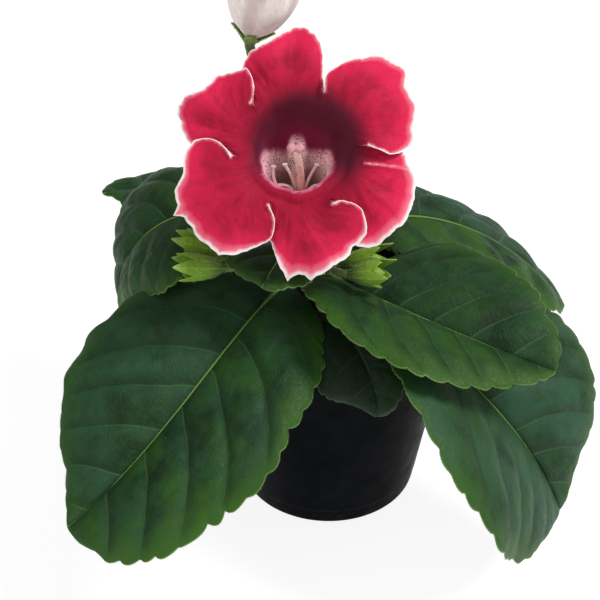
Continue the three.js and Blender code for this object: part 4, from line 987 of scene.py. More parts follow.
def lobe(shape, flat, f, way):
    """One lobe, from its root on the lip at the angles way to its margin at the places flat in the mouth's
    plane, by cubic curves from their ends and end slopes, with folds of noise. Gives the grid, its angles,
    its depths and each point's distance to the margin."""
    g = (1 - (1 - np.linspace(0, 1, LOBE_ROWS)) ** 1.2)[:, None]
    radius = np.linalg.norm(flat, axis=1)
    root = polar(LIP_RADIUS, way, np.full(way.shape, LIP[-1][1]))
    frill = FRILL * np.sin(np.pi * f) * np.sin(6 * np.pi * f + shape["wave"])
    frill = frill + 0.35 * np.sin(np.pi * f) ** 0.5 * noise(f * 26, shape["wave"] * 3, 7)
    height = BRIM - BEND_BACK * ((radius - 24) / 26) ** 2 + frill
    end = np.column_stack([flat, height])
    length = np.linalg.norm(end - root, axis=1)[:, None]
    leave = unit(polar(1, way, np.full(way.shape, 0.6))) * length
    arrive = np.column_stack([unit((end - root)[:, :2]), np.full(way.shape, -0.35)]) * length
    weights = hermite(g[..., None])
    surface = weights[0] * root + weights[1] * leave + weights[2] * end + weights[3] * arrive
    rim = np.linalg.norm(surface[:, :, None, :2] - flat[None, None], axis=-1).min(-1)
    if "crease" in shape:
        off = crease_distance(surface, shape["crease"])
        surface = surface + UP * (0.9 * np.exp(-((off / 1.4) ** 2)))[..., None]
        rim = np.minimum(rim, (0.3 + 1.4 * off) * pale_band(surface))
    over = np.where(f < 0.5, shape["over"][0], shape["over"][1])
    lap = LAP * over * np.abs(np.cos(np.pi * f)) ** 1.5
    rise = lap[None, :] * (1 - (1 - g) ** 2)
    curl = 1.3 * np.exp(-rim / 2.2) * (over > 0) * np.abs(np.cos(np.pi * f)) ** 0.8
    fold = 0.55 * noise(way * 7, shape["wave"] * 4, 1) * smooth(0, 0.35, g)
    fold = fold + 0.25 * noise(way * 20, g * 4, 2) * smooth(0, 0.3, g)
    surface = surface + UP * (rise + curl * smooth(0, 0.3, g) + fold)[..., None]
    surface[0] = root
    return surface, way, LIP_DEPTH + g, rim


def corolla():
    """The petal tissue as one sheet. The funnel is widened to the lip. From each sixth of the lip a lobe
    runs out to its margin along cubic curves that leave the lip climbing and meet the margin bending back.
    Its sides lie above or below the neighbours, its margin is frilled by sines, and the sides that lie
    above curl up at the rim."""
    notches = [shape["margin"][0] for shape in LOBES]
    notches = notches + [[notches[0][0] - 360, notches[0][1]]]
    f = np.linspace(0, 1, LOBE_COLUMNS + 1)
    spread = f + 0.05 * np.sin(TURN * f)
    angles = [np.radians(mix(a[0], b[0], spread)) for a, b in zip(notches, notches[1:])]
    around = np.concatenate([way[:-1] for way in angles])
    return [funnel(around)] + [
        lobe(shape, lobe_margin(shape, notch, LOBE_COLUMNS + 1), f, way)
        for shape, notch, way in zip(LOBES, notches[1:], angles)]


def petal_marks(grid, way, depth, rim):
    """What the petal material reads. spread: the place on a cylinder about the flower's axis, so that
    patterns run out along the lobes. rim: distance to the margin, width of its pale band, distance out.
    throat: share of pale tissue, share of the dark ring and depth down the tube."""
    rows, columns = grid.shape[:2]
    out = np.hypot(grid[..., 0], grid[..., 1])
    way = np.broadcast_to(way, (rows, columns))
    depth = np.broadcast_to(depth, (rows, columns))
    x, y = np.cos(way), np.sin(way)
    spread = polar(22, way, np.where(depth < 1, LIP_RADIUS - 20 * (1 - depth), out))
    rim = np.full((rows, columns), 40.0) if rim is None else rim
    edge = np.interp(y, *THROAT_EDGE) + 0.21 * np.exp(-((x / 0.3) ** 4)) * (y > 0)
    soft = mix(0.15, 0.04, smooth(-0.2, -0.8, y))
    pale = smooth(soft / 3, -soft * 2 / 3, depth - edge + 0.02 * noise(way * 9, depth * 6, 4))
    limit = 23.2 + 3.6 * x + 1.2 * y
    ring = 1 - smooth(limit - 5.5, limit + 4.5, out + 0.9 * noise(way * 5, depth, 3))
    ring = np.where(depth < 0.95, 1.0, ring) * smooth(-0.85, -0.2, y)
    return {
        "spread": spread,
        "rim": np.stack([rim, pale_band(grid), out], -1),
        "throat": np.stack([pale, ring, depth], -1),
    }


def petal_material(settings):
    """Velvety crimson with darker veins that run out along the lobes, brighter towards the rim in painted
    light, with a white margin, a burgundy ring about the mouth and a pale throat with dense dark speckles
    and painted shadow deep in the tube. The throat glows a little: painted light that stands in for the
    light that comes through the tube. The back is paler."""
    def draw(w):
        spread = w.mark("spread", vector=True)
        rim, band, out = w.parts(w.mark("rim", vector=True))
        pale, ring, depth = w.parts(w.mark("throat", vector=True))
        side, mm, long = w.mark("side"), w.place_mm(), w.stretched(spread, 1.0, 1.0, 0.3)
        net = w.net(long, 0.8, 0.07)
        streak = w.step(w.noise(w.stretched(spread, 1.0, 1.0, 0.07), 0.9, 3.0, 0.6), 0.5, 0.68)
        uneven = w.sums("MULTIPLY_ADD", w.noise(mm, 0.35, 3.0), 1.3, w.sums("SUBTRACT", rim, 0.65))
        share = w.sums("DIVIDE", uneven, band)
        tissue = w.paint(
            w.mottle(long, 0.35, settings.deep, settings.petal),
            # painted light: brighter crimson out towards the rim, where the rims catch light from front and
            # behind
            (w.times(w.step(out, 27.0, 43.0), w.step(rim, 3.5, 11.0, 1.0, 0.15)), settings.bright),
            (w.step(out, 22.0, 38.0, 0.75, 0.0), settings.deep),
            (w.times(net, 0.12), settings.deep),
            (w.times(streak, 0.4, w.step(rim, 1.0, 9.0)), settings.deep),
            (w.step(share, 0.25, 1.6, 0.85, 0.0), settings.flush),
            (w.step(share, 0.08, 0.62, 1.0, 0.0), settings.white))
        hood = w.paint(settings.burgundy, (w.step(depth, 0.5, 0.98, 0.85, 0.0), settings.haze))
        across, _, _ = w.parts(spread)
        shade = w.times(w.step(depth, 0.15, 0.5, 0.95, 0.0), w.step(w.sums("ABSOLUTE", across), 2.0, 11.0))
        spots = w.add("TexVoronoi", {"Vector": mm, "Scale": 1.35, "Randomness": 0.9})
        cloud = w.step(w.noise(mm, 0.28, 2.0), 0.3, 0.62, 0.24, 0.5)
        dots = w.rest(w.step(w.sums("DIVIDE", spots, cloud), 0.7, 1.05))
        inner = w.paint(
            settings.throat,
            (w.step(depth, 0.5, 0.75), THROAT_ROSE),
            (w.step(depth, 0.1, 0.4, 1.0, 0.0), THROAT_BUFF),
            (shade, THROAT_SHADE),
            (w.times(dots, 0.9), settings.speckle))
        fringe = w.times(w.step(depth, 0.8, 0.96), 0.6)
        front = w.paint(tissue, (ring, hood), (pale, w.paint(inner, (fringe, THROAT_FRINGE))))
        tube = w.paint(TUBE_FOOT, (w.step(out, 12.0, 24.0), TUBE_RED))
        back = w.paint(tube, (w.step(depth, 0.85, 1.15), w.paint(tissue, (0.45, PETAL_BACK))),
                       (w.step(share, 0.2, 1.1, 0.9, 0.0), settings.white))
        final = w.paint(front, (w.step(side, 0.6, 0.9), back))
        # Painted light: the pale throat glows faintly in its own colour, for light that comes through the
        # tube
        glow = w.paint((0, 0, 0), (w.times(pale, w.step(side, 0.6, 0.9, 1.0, 0.0)), inner))
        relief = w.sums("MULTIPLY_ADD", net, -0.9, w.sums("MULTIPLY_ADD", streak, -0.5, w.nap(mm, 2.6)))
        return {**w.surface(final, 0.62, relief, 0.3, 0.3), "Emission Color": glow}
    return material("Petal", draw, Emission_Strength=0.22, Sheen_Weight=0.05, Sheen_Roughness=0.5,
                    Sheen_Tint=(1, 0.4, 0.55, 1), Specular_IOR_Level=0.12)


class GloxiniaBloomSettings(PropertyGroup):
    thickness: thin("Petal thickness", "Thickness of the petal tissue", 0.0007, 0.0002, 0.002)
    petal: tint("Crimson", "Open lobes", 0.58, 0.011, 0.055)
    deep: tint("Deep crimson", "Veins and shaded tissue", 0.33, 0.006, 0.031)
    # Painted light on the lobes towards the rim
    bright: tint("Bright crimson", "Tissue towards the rim", 0.7, 0.017, 0.078)
    flush: tint("Pink", "Between the crimson and the white margin", 0.9, 0.22, 0.3)
    white: tint("Margin", "White margin", 0.9, 0.84, 0.82)
    burgundy: tint("Burgundy", "Dark ring about the mouth", 0.1, 0.008, 0.022)
    haze: tint("Haze", "Purple shade above the throat", 0.26, 0.019, 0.07)
    throat: tint("Throat", "Pale tissue down the tube", 0.93, 0.58, 0.62)
    speckle: tint("Speckles", "Dots in the throat", 0.14, 0.012, 0.03)


class GLOXINIA_OT_bloom(Operator):
    """Shape the open flower's ruffled corolla"""
    bl_idname = "gloxinia.bloom"
    bl_label = "Bloom"

    def execute(self, context):
        settings = context.scene.gloxinia_bloom
        place = flower_frame(**BLOOM)
        skins = [grid_skin(place(grid), petal_marks(grid, way, depth, rim), closed=rim is None)
                 for grid, way, depth, rim in corolla()]
        half = settings.thickness / MM / 2
        tapered = lambda m: half * (0.5 + 0.5 * smooth(0, 4, m["rim"][:, 0]))
        grown = thickened(joined(skins), tapered, tapered)
        piece("bloom_corolla", grown, petal_material(settings))
        return {"FINISHED"}


# Calyces and their stalks

def calyx_with_stalk(place, line, radii, length, clearance, shape, stem, seed, hairs=1100):
    """A small cup that parts into pointed sepals about a flower's foot, and its stalk. The cup follows the
    flower's radius with some clearance and is rounded in at its own foot. A sepal's length falls from
    its middle as the power 0.62 of the distance to its edge, down to the notch between two sepals, and its
    tip turns out by the splay. No two sepals of a calyx are equally long."""
    foot, start = line(np.array(0.0))

    def point_at(distance, angle, proud):
        behind = distance - CALYX_BELOW
        u = np.maximum(behind, 0) / length
        rounding = np.minimum(1, 0.45 + distance / 5.5)
        radius = (through(radii, u) + clearance) * rounding + shape["splay"] * np.maximum(0, u - 0.2) ** 1.5
        at = around_line(line, u, angle, radius + proud)
        return place(at + start * np.minimum(behind, 0)[..., None])

    across = np.linspace(-1, 1, SEPAL_COLUMNS + 1)[:-1]
    middles = shape["turn"] + TURN * np.arange(SEPALS) / SEPALS
    centre, f = (v.reshape(1, -1) for v in np.broadcast_arrays(middles[:, None], across[None, :]))
    k = np.linspace(0.03, 1, CUP_ROWS)[:, None]
    ridge = np.exp(-((f / 0.14) ** 2))
    cup = point_at(shape["cup"] * k + 0 * f, centre + f * np.pi / SEPALS + 0 * k, 0.35 * ridge * k)
    k2 = np.linspace(0, 1, SEPAL_ROWS + 1)[1:, None]
    longest = 1 - shape["uneven"] * ((centre - shape["turn"]) / TURN * SEPALS * 0.618 % 1)
    reach = shape["notch"] + (longest - shape["notch"]) * (1 - np.abs(f)) ** 0.62
    pinch = 1 - 0.1 * k2 * (1 - np.abs(f))
    cupping = 0.35 * ridge * (1 - 0.6 * k2) - 0.5 * np.abs(f) ** 2 * reach * k2
    cupping = cupping + shape["flare"] * k2**3 * reach
    sepals = point_at(shape["cup"] + shape["sepal"] * reach * k2, centre + f * np.pi / SEPALS * pinch,
                      cupping)
    pole = np.broadcast_to(cup[0].mean(0), (1,) + cup.shape[1:])
    grid = np.concatenate([pole, cup, sepals])
    run = np.concatenate([[0], 0.3 * k[:, 0], 0.3 + 0.7 * k2[:, 0]])[:, None]
    tip = np.where(run <= 0.3, run, 0.3 + (run - 0.3) * reach)
    marks = {"tip": tip, "ridge": np.broadcast_to(np.abs(f), tip.shape), "stalk": 0.0}
    sheet = thickened(grid_skin(grid, marks), shape["thick"] / 2, shape["thick"] / 2)
    behind = lambda distance: place(foot - start * distance)
    path = [stem["start"], stem["bend"], behind(CALYX_NOD), behind(CALYX_BELOW - 1)]
    u = np.linspace(0, 1, STALK_ROWS)
    at, along = cubic(path, u)
    radius = stem["radius"] * mix(1, 1.4, u**4) * (1 + 0.04 * noise(u * 30, seed * 3.0, 4))
    stalk = rod(at, along, radius, STALK_SIDES, stem["hint"],
                {"stalk": 1.0, "tip": 0.0, "ridge": 0.5, "side": 0.0})
    outer = np.where(sheet["marks"]["side"][sheet["quads"]].max(1) < 0.4, 1.0, 0.05)
    return joined([sheet, stalk, fuzz(sheet, hairs, 1.0, seed, weight=outer),
                   fuzz(stalk, hairs, 1.2, seed + 1)])


def calyx_material(settings):
    """Yellow-green sepals, paler and yellower to their tips and along their midrib, on a darker cup, with
    fine lengthwise veins, and a brownish green stalk."""
    def draw(w):
        tip, ridge, stalk, hair, side = (w.mark(k) for k in ("tip", "ridge", "stalk", "hair", "side"))
        mm = w.place_mm()
        veins = w.sums("ABSOLUTE", w.sums("SINE", w.times(ridge, 19.0)))
        final = w.paint(
            settings.cup,
            (w.step(tip, 0.12, 0.6), settings.sepal),
            (w.step(tip, 0.72, 1.0, 0.0, 0.75), settings.tip),
            (w.step(veins, 0.15, 0.5, 0.35, 0.0), settings.tip),
            (w.step(ridge, 0.04, 0.12, 0.4, 0.0), settings.tip),
            (w.step(ridge, 0.9, 0.99, 0.0, 0.5), settings.tip),
            (w.step(w.noise(mm, 0.6, 3.0), 0.3, 0.7, 0.0, 0.3), settings.cup),
            (w.step(side, 0.6, 0.9, 0.0, 0.3), settings.cup),
            (stalk, w.mottle(mm, 0.4, STALK_DARK, STALK_LIGHT)),
            (hair, CALYX_HAIR))
        return w.surface(final, 0.55, w.sums("MULTIPLY_ADD", veins, 0.5, w.nap(mm, 2.4)), 0.3, 0.25)
    return material("Calyx", draw, Sheen_Weight=0.05, Sheen_Roughness=0.5, Specular_IOR_Level=0.25)


class GloxiniaCalyxSettings(PropertyGroup):
    sepal: tint("Sepals", "Middle of the sepals", 0.2, 0.39, 0.02)
    cup: tint("Cup", "Foot of the calyx", 0.035, 0.1, 0.012)
    tip: tint("Tips", "Tips and edges of the sepals", 0.34, 0.5, 0.1)


OPEN_CALYX = dict(splay=16, thick=0.8, flare=0.6, notch=0.04, uneven=0.1)
SHUT_CALYX = dict(splay=4.5, thick=0.6, flare=0.4, notch=0.42, uneven=0.45)


class GLOXINIA_OT_stalks(Operator):
    """Grow the stalk and calyx of the bloom and of the pale bud"""
    bl_idname = "gloxinia.stalks"
    bl_label = "Stalks and calyces"

    def execute(self, context):
        finish = calyx_material(context.scene.gloxinia_calyx)
        u = np.linspace(0, 1, 200)
        length = distance_run(tube_line(u)[0])[-1]
        bloom = calyx_with_stalk(
            flower_frame(**BLOOM), tube_line, TUBE_RADII, length, 1.5,
            dict(cup=8, sepal=15, turn=0.3, **OPEN_CALYX),
            dict(start=[-1.5, -2, 130], bend=[-3, -5, 142], radius=1.9, hint=[1, 0, 0]), 31)
        piece("bloom_stalk", bloom, finish)
        bud = calyx_with_stalk(
            flower_frame(**BUD), straight_line(BUD_LENGTH), BUD_RADII, BUD_LENGTH, 0.8,
            dict(cup=1.8, sepal=7.5, turn=0.9, **OPEN_CALYX),
            dict(start=[-1, 2, 130], bend=[-8, 16, 170], radius=1.7, hint=[1, 0, 0]), 33)
        piece("bud_stalk", bud, finish)
        return {"FINISHED"}


class GLOXINIA_OT_young_buds(Operator):
    """Grow the four young buds, each with its stalk and the small corolla inside its sepals"""
    bl_idname = "gloxinia.young_buds"
    bl_label = "Young buds"

    def execute(self, context):
        finish = bpy.data.materials["Calyx"]
        for seed, bud in enumerate(YOUNG_BUDS):
            axis = np.subtract(bud["tip"], bud["foot"]).astype(float)
            length = float(np.linalg.norm(axis))
            place, line = flower_frame(bud["foot"], axis, UP), straight_line(length)
            outside = calyx_with_stalk(
                place, line, YOUNG_RADII, length, 0,
                dict(cup=0.3 * length, sepal=0.7 * length + CALYX_BELOW, turn=0.5, **SHUT_CALYX),
                dict(start=bud["start"], bend=bud["bend"], radius=1.2, hint=[0, 1, 0]), 40 + 2 * seed, 500)
            u = np.linspace(0, 0.76, 24)
            radius = np.maximum(through(YOUNG_CORE, u), 0.3) * np.sqrt(np.clip((0.77 - u) / 0.12, 0, 1))
            at, along = line(u)
            core = rod(place(at), place(at + along) - place(at), radius, 20, [0, 1, 0.3],
                       {"tip": 0.75, "ridge": 0.5, "stalk": 0.0, "side": 0.0})
            piece(bud["name"], joined([outside, core]), finish)
        return {"FINISHED"}


# Pistil and stamens

def blob(half, at, rows=16, columns=24, waist=0.0, rough=1.0):
    """A rounded body along x: an ellipsoid whose cross-section is pinched by a bell curve at its middle."""
    x = np.cos(np.linspace(np.pi, 0, rows))[:, None]
    angle = turns(columns)[None, :]
    girth = np.sqrt(1 - x * x) * (1 - waist * np.exp(-((x / 0.28) ** 2)))
    lump = 0.06 * noise(x * 3 + 5, np.cos(angle) * 2 + 7, 6) + 0.05 * noise(x * 9, np.sin(angle) * 5, 7)
    lump = 1 + rough * lump
    grid = np.stack([x + 0 * angle, girth * np.cos(angle) * lump, girth * np.sin(angle) * lump], -1)
    return pinched(grid * np.array(half, float) + np.array(at, float))


def style_material():
    """Pale pink-beige tissue, mottled, pinker on the stigma."""
    def draw(w):
        mm = w.place_mm()
        final = w.paint(w.mottle(mm, 0.8, STYLE_DARK, STYLE_LIGHT),
                        (w.step(w.mark("tip"), 0.4, 0.9), STIGMA))
        return w.surface(final, 0.45, w.noise(mm, 2.2, 3.0), 0.3, 0.2)
    return material("Style", draw, Subsurface_Weight=0.1, Specular_IOR_Level=0.4)


def filament_material():
    """Pinkish white threads that darken to their foot, with papery buff anthers."""
    def draw(w):
        mm, tip = w.place_mm(), w.mark("tip")
        final = w.paint(
            THREAD_FOOT,
            (w.step(tip, 0.0, 0.4), THREAD_PALE),
            (w.step(tip, 0.93, 1.0), ANTHER),
            (w.step(w.noise(mm, 1.2, 3.0), 0.35, 0.7, 0.0, 0.3), THREAD_STAIN))
        return w.surface(final, 0.5, w.noise(mm, 3.0, 3.0), 0.4, 0.15)
    return material("Filament", draw, Subsurface_Weight=0.1, Specular_IOR_Level=0.4)


class GLOXINIA_OT_heart(Operator):
    """Set the pistil and the ring of stamens in the bloom's throat"""
    bl_idname = "gloxinia.heart"
    bl_label = "Pistil and stamens"

    def execute(self, context):
        place = flower_frame(**BLOOM)
        foot, start = tube_line(np.array(0.0))
        u = np.linspace(0, 1, HEART_ROWS)
        at, along = cubic([foot + 0.75 * start, *PISTIL_BENDS, PISTIL_END], u)
        style = rod(at, along, through(PISTIL_RADII, u), STYLE_SIDES, [1, 0, 0], {"tip": 0.0})
        stigma = grid_skin(blob(STIGMA_HALF, STIGMA_AT, 28, 30, 0.34, 3.2), {"tip": 1.0})
        piece("bloom_pistil", placed([style, stigma], place), style_material())
        ring, turn = turns(RING_PLACES), turns(RING_SIDES)
        centre, along = tube_line(np.array(FILAMENT_RING))
        up = unit(np.array([0, 1.0, 0]) - along * along[1])
        outward = np.cos(ring)[:, None] * np.cross(up, along) + np.sin(ring)[:, None] * up
        wave = 0.7 * (1 + 0.25 * np.cos(5 * ring))
        torus = centre + FILAMENT_FOOT * outward[:, None] + wave[:, None, None] * (
            np.cos(turn)[None, :, None] * outward[:, None] - np.sin(turn)[None, :, None] * along)
        parts = [grid_skin(np.concatenate([torus, torus[:1]]), {"tip": 0.0})]
        tip = np.concatenate([[0], 0.9 * u, [0.9]])[:, None]
        for thread in FILAMENTS:
            for way in (-1, 1):
                side = np.radians(90 - way * (90 - thread["angle"]))
                root = around_line(tube_line, np.array(FILAMENT_RING), side, np.array(FILAMENT_FOOT))
                bends = np.array([*thread["bends"], thread["end"]]) * [way, 1, 1] + FILAMENT_SHIFT
                at, along = cubic([root, *bends], u)
                uneven = 1 + 0.06 * noise(u * 14, way * 3 + thread["angle"], 5)
                radius = THREAD_RADIUS * (1 - 0.2 * u) * uneven
                parts.append(rod(at, along, radius, THREAD_SIDES, [0, 0.3, 1], {"tip": tip}))
                parts.append(grid_skin(blob(ANTHER_HALF, at[-1], 14, 16, 0.2), {"tip": 0.97}))
        piece("bloom_stamens", placed(parts, place), filament_material())
        return {"FINISHED"}


# The large pale bud

def bud_material(settings):
    """Cream-pink petals folded shut, with painted grey-pink shade in the furrows and a flush at the top."""
    def draw(w):
        furrow, height, mm = w.mark("ridge"), w.mark("tip"), w.place_mm()
        veins = w.noise(w.stretched(mm, 1, 1, 0.08), 1.4, 3.0)
        final = w.paint(
            w.mottle(w.stretched(mm, 1, 1, 0.2), 0.5, settings.shade, settings.cream),
            # painted shade: grey-pink in the furrows between the folds
            (w.step(furrow, 0.0, 0.5, 0.55, 0.0), settings.furrow),
            (w.step(height, 0.72, 1.02, 0.0, 0.6), settings.blush),
            (w.step(height, 0.0, 0.12, 0.5, 0.0), BUD_FOOT),
            (w.step(veins, 0.52, 0.7, 0.0, 0.3), settings.furrow))
        return w.surface(final, 0.6, w.nap(mm, 2.2), 0.25, 0.25)
    return material("Pale bud", draw, Sheen_Weight=0.05, Subsurface_Weight=0.08, Specular_IOR_Level=0.3)


class GloxiniaBudSettings(PropertyGroup):
    cream: tint("Cream", "Open sides of the bud", 0.95, 0.87, 0.83)
    shade: tint("Shade", "Mottling of the sides", 0.86, 0.75, 0.72)
    # Painted shade in the furrows; the same colour draws faint lengthwise streaks
    furrow: tint("Furrows", "Furrows between the folds", 0.5, 0.37, 0.37)
    blush: tint("Blush", "Folded tips of the lobes", 0.7, 0.2, 0.27)


class GLOXINIA_OT_pale_bud(Operator):
    """Fold the large pale bud shut"""
    bl_idname = "gloxinia.pale_bud"
    bl_label = "Pale bud"

    def execute(self, context):
        u, angle = np.linspace(0, 1, BUD_ROWS)[:, None], turns(BUD_COLUMNS)[None, :]
        turn = BUD_FOLDS * angle - BUD_TWIST * u**3 * 1.5
        pleat = 0.1 * np.maximum(0, u - 0.12)
        share = (turn / TURN) % 1
        lapped = (share - 0.5) * smooth(0, 0.08, share) * smooth(1, 0.9, share)
        overlap = 0.16 * smooth(0.5, 0.95, u) * lapped
        fine = 0.006 * np.cos(3 * turn) * smooth(0.1, 0.5, u)
        radius = through(BUD_RADII, u) * (1 + pleat * np.cos(turn) + fine + overlap)
        top = smooth(0.93, 1.0, u)
        radius = radius * np.sqrt(np.clip(1 - top**2, 0, 1))
        points = around_line(straight_line(BUD_LENGTH), u + 0 * angle, angle + 0 * u, radius)
        points[..., 2] += 0.5 * top * np.cos(turn)
        grid = flower_frame(**BUD)(pinched(points))
        marks = {"ridge": 0.5 + 0.5 * np.cos(turn), "tip": u + 0 * angle}
        piece("bud_corolla", grid_skin(grid, marks), bud_material(context.scene.gloxinia_bud))
        return {"FINISHED"}


# The pot, the soil and the stem

def wall_radius(z):
    """Outer radius of the pot's tapered wall at a height."""
    return mix(BASE_RADIUS, RIM_RADIUS - COLLAR_STEP, z / COLLAR_FOOT)


def rounded(profile, bevels, steps=6):
    """A profile with each corner replaced by a quadratic curve that starts and ends a bevel away."""
    p = np.array(profile, float)
    found = [p[:1]]
    k = np.linspace(0, 1, steps)[:, None]
    for before, corner, after, bevel in zip(p[:-2], p[1:-1], p[2:], bevels):
        a, b = corner + unit(before - corner) * bevel, corner + unit(after - corner) * bevel
        found.append((1 - k) ** 2 * a + 2 * k * (1 - k) * corner + k**2 * b)
    return np.concatenate([*found, p[-1:]])


def lathe(profile, sides, ripple=None):
    """A surface of revolution: a profile of radius and height carried round the vertical axis."""
    angle = turns(sides)[None, :]
    radius = profile[:, :1] + (0 if ripple is None else ripple(angle, profile[:, 1:]))
    return polar(radius, angle, profile[:, 1:] + 0 * angle)


def pot_floor(height, hole_steps=6):
    """One face of the pot's floor between two radii: for each drain hole a sector, on which points run from
    the hole's circle straight to the place with the same number on the sector's border."""
    t = np.linspace(-1, 1, POT_SIDES // HOLES + 1)
    one = np.ones(len(t) - 1)
    border = np.concatenate([
        np.stack([one, t[:-1]], -1), np.stack([-t[:-1], one], -1),
        np.stack([-one, -t[:-1]], -1), np.stack([t[:-1], -one], -1)])
    patches = []
    for k in range(HOLES):
        middle = TURN * (k + 0.5) / HOLES
        radius, angle = HOLE_RING + HOLE_SECTOR * border[:, 0], middle + border[:, 1] * np.pi / HOLES
        outer, centre = polar(radius, angle), polar(HOLE_RING, middle)
        circle = centre + HOLE_RADIUS * unit(outer - centre)
        share = np.linspace(0, 1, hole_steps)[:, None, None]
        flat = mix(circle[None], outer[None], share)
        patches.append(np.concatenate([flat, np.full(flat.shape[:2] + (1,), height)], -1))
    return patches


def plastic_material(settings):
    """Moulded near-black plastic: satin, with faint flow marks, fine pitting, scuffs and a little dust
    where the wall meets the ground."""
    def draw(w):
        mm = w.place_mm()
        _, _, z = w.parts(mm)
        dust = w.times(w.step(w.noise(mm, 0.16, 4.0, 0.6), 0.5, 0.75), w.step(z, 0.0, 22.0, 0.06, 0.01))
        scuff = w.step(w.noise(w.stretched(mm, 0.3, 0.3, 2.0), 0.5, 4.0, 0.65), 0.62, 0.72, 0.0, 0.05)
        final = w.paint(w.mottle(mm, 0.05, settings.plastic, PLASTIC_GREY), (dust, DUST), (scuff, SCUFF))
        flow = w.noise(w.stretched(mm, 1, 1, 0.05), 0.12, 2.0)
        relief = w.sums("MULTIPLY_ADD", flow, 1.5, w.times(w.noise(mm, 1.8, 3.0, 0.6), 0.35))
        return w.surface(final, w.step(w.noise(mm, 0.12, 3.0), 0.3, 0.7, 0.34, 0.46), relief, 0.25, 0.3)
    return material("Plastic", draw, Specular_IOR_Level=0.012)


class GloxiniaPotSettings(PropertyGroup):
    plastic: tint("Plastic", "Moulded plastic of the pot", 0.002, 0.0025, 0.0035)
    soil: tint("Soil", "Dry top of the potting mix", 0.03, 0.019, 0.012)


class GLOXINIA_OT_pot(Operator):
    """Mould the nursery pot, with its collar and drain holes"""
    bl_idname = "gloxinia.pot"
    bl_label = "Pot"

    def execute(self, context):
        sector = (HOLE_RING - HOLE_SECTOR, HOLE_RING + HOLE_SECTOR)
        inner = RIM_RADIUS - POT_WALL - 0.6
        corners = [
            [sector[1], 0], [BASE_RADIUS - 0.2, 0], [BASE_RADIUS + 0.25, FOOT_BEVEL], [wall_radius(8), 8],
            [wall_radius(8) + 0.25, 8.6], [wall_radius(COLLAR_FOOT), COLLAR_FOOT],
            [RIM_RADIUS, COLLAR_FOOT + 1], [RIM_RADIUS, POT_HEIGHT],
            [inner, POT_HEIGHT], [inner, COLLAR_FOOT + 1],
            [wall_radius(COLLAR_FOOT - 1) - POT_WALL, COLLAR_FOOT - 1],
            [wall_radius(POT_FLOOR) - POT_WALL, POT_FLOOR], [sector[1], POT_FLOOR]]
        profile = rounded(corners, [0.7, 0.5, 0.2, 0.2, 0.5, 0.5, 0.75, 0.75, 0.5, 0.5, 1.2])
        parts = [grid_skin(lathe(profile, POT_SIDES))]
        for height, up in ((0.0, False), (POT_FLOOR, True)):
            disc = lathe(np.array([[r, height] for r in (0, 6, 12, sector[0])], float), POT_SIDES)
            for grid in (disc, *pot_floor(height)):
                face = grid_skin(grid)
                face["quads"] = face["quads"][:, ::-1] if up else face["quads"]
                parts.append(face)
        for low, high in zip(pot_floor(0.0, 2), pot_floor(POT_FLOOR, 2)):
            parts.append(grid_skin(np.stack([high[0], low[0]])))
        piece("pot", joined(parts), plastic_material(context.scene.gloxinia_pot))
        return {"FINISHED"}


def soil_material(settings):
    """Peaty potting mix: dark brown crumbs with paler fibres and whitish grit where the mesh marks it."""
    def draw(w):
        mm = w.place_mm()
        fibre = w.step(w.noise(w.stretched(mm, 1, 0.25, 0.6), 1.1, 4.0, 0.65), 0.6, 0.7, 0.0, 0.5)
        final = w.paint(w.mottle(mm, 0.45, SOIL_DARK, settings.soil),
                        (fibre, FIBRE), (w.mark("grit"), GRIT))
        return w.surface(final, 0.95, w.noise(mm, 1.0, 5.0, 0.7), 0.6, 0.8)
    return material("Soil", draw, Specular_IOR_Level=0.15)


class GLOXINIA_OT_soil(Operator):
    """Fill the pot with crumbly potting mix"""
    bl_idname = "gloxinia.soil"
    bl_label = "Soil"

    def execute(self, context):
        inside = lambda z: wall_radius(z) - POT_WALL - 0.3
        floor, edge = POT_FLOOR + 0.3, SOIL_TOP - 6
        reach = inside(edge)
        top = lambda r: SOIL_TOP - 2.6 + SOIL_MOUND * np.cos(np.pi * r / (2 * reach))
        rings = reach * np.sqrt(np.linspace(1, 0, SOIL_RINGS))
        profile = np.concatenate([[[0, floor], [inside(floor), floor], [reach, edge]],
                                  np.stack([rings, top(rings)], -1)])
        grid = lathe(profile, SOIL_SIDES)
        x, y = grid[..., 0], grid[..., 1]
        crumbs = 0.8 * noise(x / 4, y / 4, 0) + 0.6 * noise(x / 1.9, y / 1.9, 1) + 0.3 * noise(x, y, 2)
        surface = np.arange(len(profile))[:, None] > 3
        grid[..., 2] += np.where(surface, crumbs * smooth(reach + 0.1, reach - 1.5, np.hypot(x, y)), 0)
        parts = [grid_skin(grid, {"grit": 0.0})]
        chance = np.random.default_rng(5)
        for k in range(CRUMBS):
            r, a = reach * 0.96 * math.sqrt(chance.random()), TURN * chance.random()
            pale = k % PALE_EVERY == 0
            half = chance.uniform(0.8, 1.4 if pale else 2.4) * chance.uniform(0.6, 1.1, 3)
            lump = blob(half, [0, 0, 0], 6, 6)
            turn = TURN * chance.random()
            spin = np.array([[*polar(1, turn), 0], [*polar(1, turn + np.pi / 2), 0], [0, 0, 1]])
            at = polar(r, a, top(r) + 0.3 * half[2])
            parts.append(grid_skin(lump @ spin + at, {"grit": float(pale)}))
        piece("soil", joined(parts), soil_material(context.scene.gloxinia_pot))
        return {"FINISHED"}


def stem_material():
    """Hairy green stem tissue, browner towards the soil."""
    def draw(w):
        mm = w.place_mm()
        _, _, z = w.parts(mm)
        final = w.paint(w.mottle(mm, 0.35, STEM_DARK, STEM_LIGHT),
                        (w.step(z, 98.0, 118.0, 0.8, 0.0), STEM_BROWN), (w.mark("hair"), STEM_HAIR))
        return w.surface(final, 0.65, w.noise(mm, 1.5, 4.0), 0.5, 0.4)
    return material("Stem", draw, Sheen_Weight=0.05, Specular_IOR_Level=0.25)


